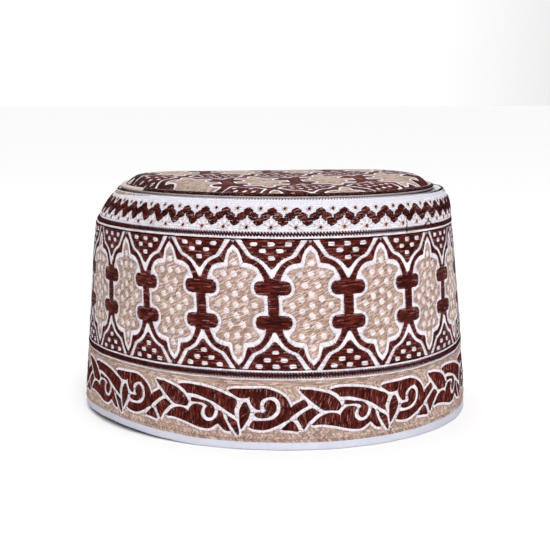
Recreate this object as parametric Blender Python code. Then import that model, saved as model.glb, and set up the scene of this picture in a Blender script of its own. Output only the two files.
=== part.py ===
"""Embroidered cotton cap: flat oval top, leaning shoulder band, tall side wall and bound hem.

Metres, +Z up. The cap stands on its hem at z = 0, with its front at -Y and its long axis along Y.
Run with blender --background --python part.py, or from the text editor.
"""
from collections import namedtuple
from math import cos, pi, radians, remainder, sin

import bmesh
import bpy
from mathutils import Vector

# Driving sizes of the cap, in metres.
HEM_WIDTH = 0.1838          # outer width at the hem, across X
HEM_LENGTH = 0.2054         # outer length at the hem, along Y
CREASE_WIDTH = 0.1704       # outer width where the side wall meets the shoulder band
CREASE_LENGTH = 0.1905
CROWN_WIDTH = 0.1500        # outer width of the seam round the top
CROWN_LENGTH = 0.1642
WALL_HEIGHT = 0.0886        # floor to crease
SHOULDER_HEIGHT = 0.0157    # crease to the underside of the crown seam
CLOTH = 0.0020              # thickness of the embroidered cloth
HEM_HEIGHT = 0.0044         # height of the bound edge
HEM_THICKNESS = 0.0026
WELT_DIAMETER = 0.0024      # the cord inside the crown seam
CROWN_PUFF = 0.0033         # how far the top swells above its seam
CROWN_DOME = 0.0009         # how far its middle rises above that swell
CROWN_SADDLE = 0.0018       # how much more it swells at the sides, and less at front and back
CROWN_SHIFT = 0.0013        # the soft top sits this far towards +X
SHOULDER_BULGE = 0.0032     # how far the squarer shoulder at +X stands out
HEM_LIFT = 0.0024           # how far the soft hem lifts off the floor at its -X side
HEM_LIFT_REACH = 0.0350     # height up the wall at which that lift has died out
SEAM_GAP = 0.0003           # clearance between neighbouring pieces

FACETS = 80                 # flats round every ring
WELT_SIDES = 8              # flats round the section of the welt
OUTLINE_POWER = 1.95        # 2 is an ellipse; less is a little more pointed at front and back

# The lift of the hem: its middle and half its width, as angles from the front round by +X.
HEM_LIFT_ANGLE = radians(-70)
HEM_LIFT_SPREAD = radians(40)

# Levels of the side wall: share of its height, share of the way from hem size to crease size,
# and sideways shift as a share of CROWN_SHIFT.
WallRow = namedtuple("WallRow", "height lean shift")
WALL_ROWS = (
    WallRow(0.00, 0.00, 0.0),
    WallRow(0.20, 0.15, 0.0),
    WallRow(0.42, 0.34, 0.0),
    WallRow(0.65, 0.56, -0.2),
    WallRow(0.84, 0.78, -0.4),
    WallRow(0.95, 0.93, -0.4),
    WallRow(1.00, 1.00, -0.4),
)

# Levels of the shoulder band: share of its height, share of the way from crease size to crown
# size, sideways shift as a share of CROWN_SHIFT, and share of SHOULDER_BULGE.
ShoulderRow = namedtuple("ShoulderRow", "height lean shift bulge")
SHOULDER_ROWS = (
    ShoulderRow(0.00, 0.00, -0.4, 0.00),
    ShoulderRow(0.33, 0.19, 0.1, 0.35),
    ShoulderRow(0.63, 0.42, 0.6, 0.70),
    ShoulderRow(0.88, 0.68, 0.9, 1.00),
    ShoulderRow(1.04, 0.88, 1.0, 1.00),
    ShoulderRow(1.00, 1.00, 1.0, 0.00),
)

# Section of the top from its edge inwards: share of the half width, share of CROWN_PUFF and
# share of CROWN_DOME.
CrownRow = namedtuple("CrownRow", "reach puff dome")
CROWN_ROWS = (
    CrownRow(1.000, 0.00, 0.0),
    CrownRow(0.975, 0.42, 0.0),
    CrownRow(0.930, 0.78, 0.0),
    CrownRow(0.860, 0.97, 0.0),
    CrownRow(0.740, 1.00, 0.2),
    CrownRow(0.520, 1.00, 0.6),
    CrownRow(0.260, 1.00, 0.9),
)

# One ring of a swept piece: half width, half length, sideways shift and height.
Ring = namedtuple("Ring", "across along shift height")

# A piece's colour, roughness and metallic value.
Finish = namedtuple("Finish", "colour roughness metallic")
BROWN_EMBROIDERY = Finish((0.10, 0.017, 0.010, 1.0), 0.75, 0.0)
TAN_EMBROIDERY = Finish((0.62, 0.42, 0.27, 1.0), 0.80, 0.0)
WHITE_COTTON = Finish((0.80, 0.77, 0.82, 1.0), 0.85, 0.0)


def clear_scene():
    for item in list(bpy.data.objects):
        bpy.data.objects.remove(item, do_unlink=True)


def between(start, end, share):
    return start + (end - start) * share


def signed_power(value, power):
    return abs(value) ** power * (1 if value >= 0 else -1)


def hem_lift(angle, height):
    """How far the hem is raised at an angle from the front, dying out up the wall."""
    away = abs(remainder(angle - HEM_LIFT_ANGLE, 2 * pi)) / HEM_LIFT_SPREAD
    bump = (1 + cos(pi * min(away, 1.0))) / 2
    return HEM_LIFT * bump * max(0.0, 1 - height / HEM_LIFT_REACH)


def ring_points(ring, saddle=0.0):
    """Corners of one ring, counted from the front round by +X, raised at the sides by saddle."""
    points = []
    for step in range(FACETS):
        angle = 2 * pi * step / FACETS
        x = ring.across * signed_power(sin(angle), 2 / OUTLINE_POWER) + ring.shift
        y = -ring.along * signed_power(cos(angle), 2 / OUTLINE_POWER)
        z = ring.height + hem_lift(angle, ring.height) - saddle * cos(2 * angle)
        points.append((x, y, z))
    return points


def inset(ring, depth, drop=0.0):
    return Ring(ring.across - depth, ring.along - depth, ring.shift, ring.height - drop)


def wall_ring(row):
    """Outer ring of the side wall at one level."""
    return Ring(
        between(HEM_WIDTH, CREASE_WIDTH, row.lean) / 2,
        between(HEM_LENGTH, CREASE_LENGTH, row.lean) / 2,
        row.shift * CROWN_SHIFT,
        row.height * WALL_HEIGHT,
    )


def shoulder_ring(row):
    """Outer ring of the shoulder band at one level, pushed out on its +X side."""
    push = row.bulge * SHOULDER_BULGE / 2
    return Ring(
        between(CREASE_WIDTH, CROWN_WIDTH, row.lean) / 2 + push,
        between(CREASE_LENGTH, CROWN_LENGTH, row.lean) / 2,
        row.shift * CROWN_SHIFT + push,
        WALL_HEIGHT + row.height * SHOULDER_HEIGHT,
    )


def ring_at(rings, height):
    """Ring at any height, read off between two rings of a list that runs upwards."""
    for low, high in zip(rings, rings[1:]):
        if height <= high.height:
            break
    share = (height - low.height) / (high.height - low.height)
    return Ring(*[between(a, b, share) for a, b in zip(low, high)])


def make_object(name, mesh_data, finish):
    mesh = bpy.data.meshes.new(name)
    mesh_data.to_mesh(mesh)
    mesh_data.free()
    material = bpy.data.materials.new(name)
    material.use_nodes = True
    shader = material.node_tree.nodes["Principled BSDF"]
    shader.inputs["Base Color"].default_value = finish.colour
    shader.inputs["Roughness"].default_value = finish.roughness
    shader.inputs["Metallic"].default_value = finish.metallic
    mesh.materials.append(material)
    mesh.shade_smooth()
    mesh.set_sharp_from_angle(angle=pi / 4)
    piece = bpy.data.objects.new(name, mesh)
    bpy.context.collection.objects.link(piece)
    return piece


def bridge(mesh_data, lower, upper):
    """Skin between two rings of corners with the same count."""
    for index in range(FACETS):
        after = (index + 1) % FACETS
        mesh_data.faces.new((lower[index], lower[after], upper[after], upper[index]))


def close_section(name, loops, finish):
    """Closed hoop through loops of points that run up its outside and down its inside."""
    mesh_data = bmesh.new()
    corners = [[mesh_data.verts.new(point) for point in loop] for loop in loops]
    for index, loop in enumerate(corners):
        bridge(mesh_data, loop, corners[(index + 1) % len(corners)])
    return make_object(name, mesh_data, finish)


def cloth_layer(name, rings, finish, level_rims):
    """Band of cloth: the rings are its outside, and its inside lies one thickness behind them.

    A rim named in level_rims, by the index of its ring, is cut level to sit on its neighbour.
    """
    outside = [[Vector(point) for point in ring_points(ring)] for ring in rings]
    inside = []
    for row, loop in enumerate(outside):
        below = outside[max(row - 1, 0)]
        above = outside[min(row + 1, len(outside) - 1)]
        behind = []
        for index, point in enumerate(loop):
            around = loop[(index + 1) % FACETS] - loop[index - 1]
            normal = around.cross(above[index] - below[index])
            if row in level_rims:
                normal.z = 0.0
            behind.append(point - normal.normalized() * CLOTH)
        inside.append(behind)
    return close_section(name, outside + inside[::-1], finish)


def make_hem_binding():
    """White binding that the cap stands on, a rounded fold with a flat underside."""
    rings = [wall_ring(row) for row in WALL_ROWS]
    fold = HEM_THICKNESS / 4
    foot = ring_at(rings, 0.0)
    top = ring_at(rings, HEM_HEIGHT)
    section = (
        inset(foot, fold),
        inset(foot, 0.0, -fold),
        inset(top, 0.0, fold),
        inset(top, fold),
        inset(top, HEM_THICKNESS - fold),
        inset(top, HEM_THICKNESS, fold),
        inset(foot, HEM_THICKNESS, -fold),
        inset(foot, HEM_THICKNESS - fold),
    )
    return close_section("hem_binding", [ring_points(ring) for ring in section], WHITE_COTTON)


def make_side_wall():
    """Tall embroidered wall, seated on the binding."""
    rings = [wall_ring(row) for row in WALL_ROWS]
    outside = [ring_at(rings, HEM_HEIGHT + SEAM_GAP)]
    outside += [ring for ring in rings if ring.height > 2 * HEM_HEIGHT]
    return cloth_layer("side_wall", outside, BROWN_EMBROIDERY, (0, len(outside) - 1))


def make_shoulder_band():
    """White band that leans inward from the top of the wall and turns in under the crown seam."""
    rings = [shoulder_ring(row) for row in SHOULDER_ROWS]
    outside = [ring_at(rings, WALL_HEIGHT + SEAM_GAP)] + rings[1:]
    return cloth_layer("shoulder_band", outside, WHITE_COTTON, (0,))


def welt_ring():
    """Outermost ring of the welt, which rests on the top edge of the shoulder band."""
    return inset(shoulder_ring(SHOULDER_ROWS[-1]), 0.0, -SEAM_GAP - WELT_DIAMETER / 2)


def make_crown_welt():
    """Round corded seam between the shoulder band and the top."""
    edge = welt_ring()
    radius = WELT_DIAMETER / 2
    section = []
    for side in range(WELT_SIDES):
        angle = 2 * pi * (side + 0.5) / WELT_SIDES - pi / 2
        ring = inset(edge, radius - radius * cos(angle), -radius * sin(angle))
        section.append(ring_points(ring))
    return close_section("crown_welt", section, TAN_EMBROIDERY)


def make_crown_disc():
    """Top of the cap: one layer that swells up from the welt and rises a little to its middle."""
    edge = inset(welt_ring(), WELT_DIAMETER + SEAM_GAP)
    mesh_data = bmesh.new()
    loops = {}
    for skin, drop in (("top", -CLOTH / 2), ("underside", CLOTH / 2)):
        loops[skin] = []
        for row in CROWN_ROWS:
            lift = row.puff * CROWN_PUFF + row.dome * CROWN_DOME
            ring = Ring(
                edge.across * row.reach,
                edge.along * row.reach,
                edge.shift,
                edge.height + lift - drop,
            )
            saddle = row.puff * row.reach ** 2 * CROWN_SADDLE
            corners = ring_points(ring, saddle)
            loops[skin].append([mesh_data.verts.new(point) for point in corners])
        middle = (edge.shift, 0.0, edge.height + CROWN_PUFF + CROWN_DOME - drop)
        loops[skin].append(mesh_data.verts.new(middle))
    bridge(mesh_data, loops["underside"][0], loops["top"][0])
    for outer, inner in zip(loops["top"][:-1], loops["top"][1:-1]):
        bridge(mesh_data, outer, inner)
    for outer, inner in zip(loops["underside"][:-1], loops["underside"][1:-1]):
        bridge(mesh_data, inner, outer)
    for index in range(FACETS):
        after = (index + 1) % FACETS
        top, middle = loops["top"][-2:]
        mesh_data.faces.new((top[index], top[after], middle))
        under, middle = loops["underside"][-2:]
        mesh_data.faces.new((under[after], under[index], middle))
    return make_object("crown_disc", mesh_data, BROWN_EMBROIDERY)


clear_scene()
make_hem_binding()
make_side_wall()
make_shoulder_band()
make_crown_welt()
make_crown_disc()
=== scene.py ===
from math import ceil, cos, pi, radians, sin, tau

import bmesh
import bpy
import numpy as np
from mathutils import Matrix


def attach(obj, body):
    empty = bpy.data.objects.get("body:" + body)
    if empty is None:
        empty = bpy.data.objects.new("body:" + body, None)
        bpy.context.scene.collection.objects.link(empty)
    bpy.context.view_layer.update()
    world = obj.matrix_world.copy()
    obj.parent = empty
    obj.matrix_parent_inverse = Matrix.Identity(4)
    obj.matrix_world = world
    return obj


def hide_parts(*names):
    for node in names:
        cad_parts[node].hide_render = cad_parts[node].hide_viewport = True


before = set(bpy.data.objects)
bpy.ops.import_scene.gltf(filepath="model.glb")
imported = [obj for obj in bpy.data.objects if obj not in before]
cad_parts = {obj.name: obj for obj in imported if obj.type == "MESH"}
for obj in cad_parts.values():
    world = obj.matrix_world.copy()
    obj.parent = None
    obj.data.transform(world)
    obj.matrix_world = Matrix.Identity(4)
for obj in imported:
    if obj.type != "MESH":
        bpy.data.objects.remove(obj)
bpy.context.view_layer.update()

# Camera: a little left of the cap's nose and a little above it, at the photograph's angle.
# The focal length and the distance give the photograph's perspective on a 550 by 549 frame.
CAMERA_PLACE = (-0.1311, -0.6479, 0.14807)
CAMERA_PITCH = 0.1301
CAMERA_HEADING = -0.20024
camera_data = bpy.data.cameras.new("camera")
camera_data.sensor_width = 36.0
camera_data.lens = 89.16
camera_data.clip_start = 0.01
camera = bpy.data.objects.new("camera", camera_data)
bpy.context.scene.collection.objects.link(camera)
camera.location = CAMERA_PLACE
camera.rotation_euler = (pi / 2 - CAMERA_PITCH, 0.0, CAMERA_HEADING)
bpy.context.scene.camera = camera
bpy.context.scene.view_settings.view_transform = "Standard"


# Studio: a plain white floor under soft light, with one broad lamp in front of the cap.
# The floor is one flat sheet. The rest of the room is a white glow, brighter overhead and
# dimmer at its two sides and behind the camera.
class Socket:
    """One output of a shader node, with the maths that the finishes use."""

    def __init__(self, finish, socket):
        self.finish = finish
        self.socket = socket

    def maths(self, operation, first, second):
        return self.finish.node(
            "ShaderNodeMath", {"operation": operation}, {0: first, 1: second}
        )

    def __add__(self, other):
        return self.maths("ADD", self, other)

    def __radd__(self, other):
        return self.maths("ADD", other, self)

    def __sub__(self, other):
        return self.maths("SUBTRACT", self, other)

    def __rsub__(self, other):
        return self.maths("SUBTRACT", other, self)

    def __mul__(self, other):
        return self.maths("MULTIPLY", self, other)

    def __rmul__(self, other):
        return self.maths("MULTIPLY", other, self)


class Shading:
    """A shader tree under construction."""

    def __init__(self, tree):
        self.tree = tree

    def node(self, kind, settings=None, inputs=None, output=0):
        made = self.tree.nodes.new(kind)
        for setting, value in (settings or {}).items():
            if setting == "stops":
                ramp = made.color_ramp.elements
                while len(ramp) < len(value):
                    ramp.new(0.5)
                for stop, (place, colour) in zip(ramp, value):
                    stop.position = place
                    stop.color = (*colour, 1.0)
            else:
                setattr(made, setting, value)
        for socket, value in (inputs or {}).items():
            if isinstance(value, Socket):
                self.tree.links.new(value.socket, made.inputs[socket])
            else:
                made.inputs[socket].default_value = value
        return Socket(self, made.outputs[output])


class Finish(Shading):
    """A material under construction: one principled shader and the nodes that feed it."""

    def __init__(self, name, colour, roughness, **constants):
        self.material = bpy.data.materials.new(name)
        self.material.use_nodes = True
        super().__init__(self.material.node_tree)
        self.shader = self.tree.nodes["Principled BSDF"]
        self.shader.inputs["Base Color"].default_value = (*colour, 1.0)
        self.shader.inputs["Roughness"].default_value = roughness
        for socket, value in constants.items():
            self.shader.inputs[socket.replace("_", " ")].default_value = value

    def blend(self, share, first, second):
        """Colour between two colours."""
        for colour in (first, second):
            if not isinstance(colour, Socket) and len(colour) != 4:
                raise ValueError("a colour has four parts here")
        return self.node(
            "ShaderNodeMix", {"data_type": "RGBA"}, {0: share, 6: first, 7: second}, output=2
        )

    def attribute(self, name, output="Fac"):
        return self.node("ShaderNodeAttribute", {"attribute_name": name}, output=output)

    def feed(self, socket, value):
        self.tree.links.new(value.socket, self.shader.inputs[socket])

    def bump(self, height, strength, distance):
        self.feed("Normal", self.node(
            "ShaderNodeBump", None,
            {"Strength": strength, "Distance": distance, "Height": height},
        ))


FLOOR_WIDTH = 40.0
FLOOR_WHITE = (0.95, 0.95, 0.95)
ROOM_GLOW = 1.05
SIDE_DIMMING = 1.00       # how much darker the room is at its left and right walls
SIDE_SPAN = (0.25, 0.75)  # how far sideways one looks where that starts and is complete
FRONT_DIMMING = 0.45      # and behind the camera, where the front light stands in for it
FRONT_SPAN = (-0.1, -0.9)  # the same from the cap towards the camera
CEILING_GLOW = 0.9
AIM_HEIGHT = 0.05         # the lamp points at the middle of the cap
LIGHTS = (
    # name, place, width, power
    ("front light", (-0.1, -1.6, 0.8), 0.7, 18.0),
)
floor_mesh = bpy.data.meshes.new("floor")
half_floor = FLOOR_WIDTH / 2
floor_mesh.from_pydata(
    [(-half_floor, -half_floor, 0), (half_floor, -half_floor, 0),
     (half_floor, half_floor, 0), (-half_floor, half_floor, 0)], [], [(0, 1, 2, 3)]
)
floor = bpy.data.objects.new("floor", floor_mesh)
bpy.context.scene.collection.objects.link(floor)
floor_finish = Finish("studio floor", FLOOR_WHITE, 0.9)
floor_finish.feed("Roughness", 0.85 + 0.1 * floor_finish.node(
    "ShaderNodeTexNoise", None, {"Scale": 4.0}))
floor_mesh.materials.append(floor_finish.material)
world = bpy.data.worlds.new("studio")
world.use_nodes = True
room = Shading(world.node_tree)
direction = room.node("ShaderNodeTexCoord", output="Generated")
split = room.node("ShaderNodeSeparateXYZ", None, {0: direction})
sideways = room.node("ShaderNodeMath", {"operation": "ABSOLUTE"}, {0: split})
dimmed = room.node("ShaderNodeMapRange", {"interpolation_type": "SMOOTHSTEP"}, {
    "Value": sideways, "From Min": SIDE_SPAN[0], "From Max": SIDE_SPAN[1],
    "To Min": 0.0, "To Max": SIDE_DIMMING})
onward = Socket(room, split.socket.node.outputs["Y"])
front = room.node("ShaderNodeMapRange", {"interpolation_type": "SMOOTHSTEP"}, {
    "Value": onward, "From Min": FRONT_SPAN[0], "From Max": FRONT_SPAN[1],
    "To Min": 0.0, "To Max": FRONT_DIMMING})
overhead = Socket(room, split.socket.node.outputs["Z"])
overhead = room.node("ShaderNodeMath", {"operation": "MAXIMUM"}, {0: overhead, 1: 0.0})
glow = ROOM_GLOW - dimmed - front + overhead * overhead * CEILING_GLOW
backdrop = world.node_tree.nodes["Background"]
backdrop.inputs["Color"].default_value = (1.0, 1.0, 1.0, 1.0)
world.node_tree.links.new(glow.socket, backdrop.inputs["Strength"])
bpy.context.scene.world = world
for light_name, light_place, light_width, light_power in LIGHTS:
    light_data = bpy.data.lights.new(light_name, "AREA")
    light_data.size = light_width
    light_data.energy = light_power
    light = bpy.data.objects.new(light_name, light_data)
    bpy.context.scene.collection.objects.link(light)
    light.location = light_place
    towards = light.location.copy()
    towards.z -= AIM_HEIGHT
    light.rotation_mode = "QUATERNION"
    light.rotation_quaternion = towards.to_track_quat("Z", "Y")


# Side wall: one tall band of white cotton, stiff with stitching, leaning in towards the top.
# The shoulder band carries on from it, so both are read off one profile, in millimetres.
# A place on the cloth is a chart place (u, v): u runs round the cap, v up along the cloth.
HEM_ACROSS, HEM_ALONG = 183.8, 205.4
CREASE_ACROSS, CREASE_ALONG = 170.4, 190.5
CROWN_ACROSS, CROWN_ALONG = 150.0, 164.2
WALL_HEIGHT, SHOULDER_HEIGHT = 88.6, 15.7
CROWN_SHIFT, SHOULDER_BULGE = 1.3, 3.2
HEM_LIFT, HEM_LIFT_REACH = 2.4, 35.0
HEM_LIFT_ANGLE, HEM_LIFT_SPREAD = radians(-70), radians(40)
OUTLINE_POWER = 1.95
# Levels: share of the height, share of the way from hem to crease size, sideways shift.
WALL_LEVELS = (
    (0.00, 0.00, 0.0), (0.20, 0.15, 0.0), (0.42, 0.34, 0.0), (0.65, 0.56, -0.2),
    (0.84, 0.78, -0.4), (0.95, 0.93, -0.4), (1.00, 1.00, -0.4),
)
# The same from crease to crown size, and the share of the bulge on the +X side.
SHOULDER_LEVELS = (
    (0.33, 0.19, 0.1, 0.35), (0.63, 0.42, 0.6, 0.70), (0.88, 0.68, 0.9, 1.00),
    (1.04, 0.88, 1.0, 1.00), (1.00, 1.00, 1.0, 0.00),
)
PITCH = 32.2              # knot to knot on the chart
REPEATS = 18              # knots round the cap
NOSE = 0.602              # share of a pitch from knot 0 to the nose of the cap
ROUND = PITCH * REPEATS   # length of the chart round the cap
LEFT_RISE, RIGHT_RISE = 0.2, 6.0    # how much higher the pattern runs low down at the sides
RISE_REACH = 70.0
TURN_IN = 0.015           # how far the pattern is drawn towards the nose at the two sides
CLOTH = 2.0
MM = 0.001


def level(height, across, along, shift):
    """One level of the profile: its height, half its width, half its length and its shift."""
    return (height, across / 2, along / 2, shift)


levels = [
    level(high * WALL_HEIGHT, HEM_ACROSS + (CREASE_ACROSS - HEM_ACROSS) * lean,
          HEM_ALONG + (CREASE_ALONG - HEM_ALONG) * lean, shift * CROWN_SHIFT)
    for high, lean, shift in WALL_LEVELS
] + [
    level(WALL_HEIGHT + high * SHOULDER_HEIGHT,
          CREASE_ACROSS + (CROWN_ACROSS - CREASE_ACROSS) * lean + bulge * SHOULDER_BULGE,
          CREASE_ALONG + (CROWN_ALONG - CREASE_ALONG) * lean,
          shift * CROWN_SHIFT + bulge * SHOULDER_BULGE / 2)
    for high, lean, shift, bulge in SHOULDER_LEVELS
]
levels = np.array(levels)
level_steps = np.hypot(np.diff(levels[:, 0]), np.diff(levels[:, 1] + levels[:, 2]) / 2)
level_lengths = np.concatenate([[0.0], np.cumsum(level_steps)])
CREASE = level_lengths[len(WALL_LEVELS) - 1]
BAND_TOP = level_lengths[-1]


def signed_power(value, power):
    return np.sign(value) * np.abs(value) ** power


OVAL_NARROWNESS = 0.885   # width over length of the oval that the pattern is spaced round
oval_angles = np.linspace(-pi, pi, 1441)
oval_steps = np.hypot(
    np.diff(OVAL_NARROWNESS * signed_power(np.sin(oval_angles), 2 / OUTLINE_POWER)),
    np.diff(signed_power(np.cos(oval_angles), 2 / OUTLINE_POWER)),
)
oval_shares = np.concatenate([[0.0], np.cumsum(oval_steps)])
oval_shares = oval_shares / oval_shares[-1] - 0.5


def ring_place(share, length):
    """Point of the cloth at a share of the way round and a length up the profile."""
    angle = np.interp((share + 0.5) % 1.0 - 0.5, oval_shares, oval_angles)
    height, across, along, shift = (
        np.interp(length, level_lengths, levels[:, column]) for column in range(4)
    )
    away = np.abs((angle - HEM_LIFT_ANGLE + pi) % tau - pi) / HEM_LIFT_SPREAD
    lift = HEM_LIFT * (1 + np.cos(pi * np.minimum(away, 1))) / 2
    lift = lift * np.maximum(0, 1 - height / HEM_LIFT_REACH)
    pucker = 0.18 * np.sin(11 * tau * share + length / 9) * np.sin(length / 14)
    pucker = pucker + 0.10 * np.sin(29 * tau * share - length / 5)
    x = across * signed_power(np.sin(angle), 2 / OUTLINE_POWER)
    y = -along * signed_power(np.cos(angle), 2 / OUTLINE_POWER)
    swell = 1 + pucker / 90
    return np.stack([x * swell + shift, y * swell, height + lift], axis=-1)


SKEW_BASE, SKEW_SLOPE, SKEW_HEIGHT = 0.006, 0.0047, 60.85


def skew_at(length):
    """How far the pattern shifts round the cap at its two sides, at a length up the cloth."""
    return (SKEW_SLOPE * (length - SKEW_HEIGHT) + SKEW_BASE) / REPEATS


def side_rise(share):
    """How much higher than level the pattern runs at the hem, at a share of the way round."""
    swing = np.sin(tau * share)
    return np.where(swing < 0, LEFT_RISE, RIGHT_RISE) * swing ** 4


def turned_in(share):
    """How much nearer the nose the pattern sits, as a share of the way round."""
    swing = np.sin(tau * share)
    return TURN_IN * swing * np.abs(swing) ** 3


def wall_place(chart):
    """Point of the cloth at a chart place, one row of (u, v) each."""
    u, v = chart[:, 0], chart[:, 1]
    base = (u / PITCH - NOSE) / REPEATS
    share = base
    for _ in range(6):
        share = base + skew_at(v) * np.sin(tau * share) - turned_in(share)
    rise = side_rise(share)
    return ring_place(share, v + rise * np.maximum(0, 1 - v / RISE_REACH))


def wall_chart(share, length):
    """Chart place of a point of the cloth, the other way round."""
    rise = side_rise(share)
    v = np.where(length < RISE_REACH, (length - rise) / (1 - rise / RISE_REACH), length)
    base = share - skew_at(v) * np.sin(tau * share) + turned_in(share)
    return np.stack([(base * REPEATS + NOSE) * PITCH, v], axis=-1)


def hoop(name, loops, charts=None):
    """Closed hoop of cloth through loops that run up its outside and down its inside."""
    count = len(loops[0])
    corners = np.concatenate(loops) * MM
    mesh = bpy.data.meshes.new(name)
    first = np.arange(len(loops))[:, None] * count
    after = np.roll(np.arange(len(loops)), -1)[:, None] * count
    here = np.arange(count)[None, :]
    there = (here + 1) % count
    faces = np.stack(
        [first + here, first + there, after + there, after + here], axis=-1
    ).reshape(-1, 4)
    mesh.from_pydata(corners.tolist(), [], faces.tolist())
    if charts is not None:
        spots = np.concatenate(charts)
        wide = spots[faces.ravel()].copy()
        columns = np.broadcast_to(there, (len(loops), count)) == 0
        wrap = np.repeat(columns.ravel(), 4) * np.tile([False, True, True, False], len(faces))
        wide[wrap, 0] += ROUND
        store(mesh, "chart", "FLOAT_VECTOR", np.c_[wide, np.zeros(len(wide))], "CORNER")
    mesh.shade_smooth()
    return mesh


def store(mesh, name, kind, values, domain="POINT"):
    made = mesh.attributes.new(name, kind, domain)
    field = "vector" if kind == "FLOAT_VECTOR" else "value"
    made.data.foreach_set(field, np.asarray(values, dtype=np.float32).ravel())


def show(name, mesh, slot, *nodes):
    """Put a finished mesh in the scene as a piece of the cap."""
    piece = bpy.data.objects.new(name, mesh)
    bpy.context.scene.collection.objects.link(piece)
    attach(piece, "root")
    if nodes:
        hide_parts(*nodes)
    return piece


def behind(loops, depth):
    """The inner side of a band of cloth, one thickness behind its outer loops."""
    stack = np.array(loops)
    around = np.roll(stack, -1, axis=1) - np.roll(stack, 1, axis=1)
    upward = np.gradient(stack, axis=0)
    normal = np.cross(around, upward)
    normal /= np.linalg.norm(normal, axis=-1, keepdims=True)
    return [loop for loop in stack - normal * depth]


# Outlines of the medallions, one quarter each, in millimetres from a medallion's middle.
# Every list runs from the top to the side; each inner list ends at a corner of the outline.
TAN_EDGE = [
    [(0, 22.8), (1.7, 21.0), (2.15, 19.3), (2.4, 17.2), (2.5, 15.8)],
    [(2.5, 15.8), (4.6, 15.4), (6.7, 15.1), (8.6, 14.3), (9.8, 13.4)],
    [(9.8, 13.4), (9.6, 13.0)],
    [(9.6, 13.0), (8.8, 12.0), (7.7, 10.7), (6.9, 8.9), (6.6, 7.0), (7.1, 5.1), (8.1, 3.9),
     (10.2, 2.8), (12.0, 2.3)],
    [(12.0, 2.3), (12.2, 0)],
]
INNER_WHITE_EDGE = [
    [(0, 25.5), (2.2, 23.4), (3.2, 21.4), (3.8, 19.3), (4.2, 17.9)],
    [(4.2, 17.9), (5.6, 17.7), (7.6, 17.4), (9.4, 16.4), (10.6, 15.3)],
    [(10.6, 15.3), (12.0, 12.9), (12.85, 10.2)],
    [(12.85, 10.2), (11.4, 10.2), (10.0, 10.1), (8.8, 9.2), (8.3, 7.15), (8.9, 5.2),
     (10.2, 4.35), (12.2, 4.3), (13.9, 4.3)],
    [(13.9, 4.3), (13.9, 0)],
]
BROWN_EDGE = [
    [(0.85, 27.4), (2.3, 25.5), (3.8, 23.45), (5.2, 21.4), (6.2, 20.3)],
    [(6.2, 20.3), (7.1, 19.7), (8.8, 19.1), (10.4, 18.2), (12.1, 16.8), (13.35, 15.1),
     (14.6, 13.0), (15.4, 11.4), (16.1, 10.9)],
]
OUTER_WHITE_EDGE = [
    [(3.85, 27.4), (4.8, 25.5), (6.2, 23.45), (7.6, 21.4), (7.9, 20.95)],
    [(7.9, 20.95), (9.6, 20.3), (11.3, 19.5), (12.7, 18.45), (14.0, 17.2), (15.0, 15.9),
     (16.1, 15.2)],
]
MEDALLION_DOTS = [
    (0, 17.9), (0, 13.0), (4.7, 13.0), (-4.7, 13.0), (2.7, 8.4), (-2.7, 8.4), (0, 4.6),
    (4.3, 2.6), (-4.3, 2.6), (8.2, 0), (-8.2, 0), (0, 0), (4.3, -2.6), (-4.3, -2.6), (0, -4.6),
    (2.7, -8.4), (-2.7, -8.4), (0, -13.0), (4.7, -13.0), (-4.7, -13.0), (0, -17.9),
]
FIELD_DOTS = [(-7.2, 25.6), (0, 25.6), (7.2, 25.6), (-3.6, 22.9), (3.6, 22.9), (0, 19.8)]
CELL = PITCH / 2          # half width of one repeat
LATTICE_MIDDLE = 61.3     # chart height of the medallions' middle
LATTICE_LOW, LATTICE_HIGH = 34.2, 88.9
HALF_HEIGHT = 27.4        # middle of a medallion to the crossing of its lines


def joined(sections):
    """The points of an outline's sections in one list, without the doubled corners."""
    points = list(sections[0])
    for section in sections[1:]:
        points += section[1:]
    return np.array(points, dtype=float)


def four_ways(sections):
    """Closed outline from its quarter."""
    quarter = joined(sections)
    half = np.concatenate([quarter, quarter[::-1][1:] * [1, -1]])
    return np.concatenate([half, half[::-1][1:-1] * [-1, 1]])


def ellipse(centre, half_width, half_height, sides=14):
    turns = np.arange(sides) * tau / sides
    return np.stack([centre[0] + half_width * np.cos(turns),
                     centre[1] + half_height * np.sin(turns)], axis=-1)


def inside(points, outline):
    """Which points lie inside a closed outline."""
    result = np.zeros(len(points), dtype=bool)
    x, y = points[:, 0], points[:, 1]
    for (x0, y0), (x1, y1) in zip(outline, np.roll(outline, -1, axis=0)):
        if y0 == y1:
            continue
        crosses = (y0 <= y) != (y1 <= y)
        result ^= crosses & (x < x0 + (y - y0) / (y1 - y0) * (x1 - x0))
    return result


tan_outline = four_ways(TAN_EDGE)
knot_line = joined(BROWN_EDGE)
white_line = joined(INNER_WHITE_EDGE)
field_line = joined(OUTER_WHITE_EDGE)


def network_outline():
    """Brown lines and knots of one repeat, centred on its knots: the corners go round it."""
    upper = knot_line - [CELL, 0]
    upper = np.concatenate([[(-CELL, HALF_HEIGHT)], upper])
    top = np.concatenate([upper, upper[::-1][1:] * [-1, 1]])
    side = white_line * [-1, 1] + [CELL, 0]
    right = np.concatenate([side, side[::-1][1:] * [1, -1]])
    bottom = top[::-1] * [1, -1]
    return np.concatenate([top, right, bottom, right[::-1] * [-1, 1]])


def field_outline(top=None):
    """Brown field above the knots, centred on them; closed at the top or whole."""
    side = field_line - [CELL, 0]
    lower = np.concatenate([side, side[::-1][1:] * [-1, 1]])
    if top is None:
        mirrored = lower[::-1][1:-1] * [1, -1] + [0, 2 * HALF_HEIGHT]
        return np.concatenate([lower, mirrored])
    ends = np.array([[lower[-1, 0] + 0.2, top], [lower[0, 0] - 0.2, top]])
    return np.concatenate([lower, ends])


network = network_outline()


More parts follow.
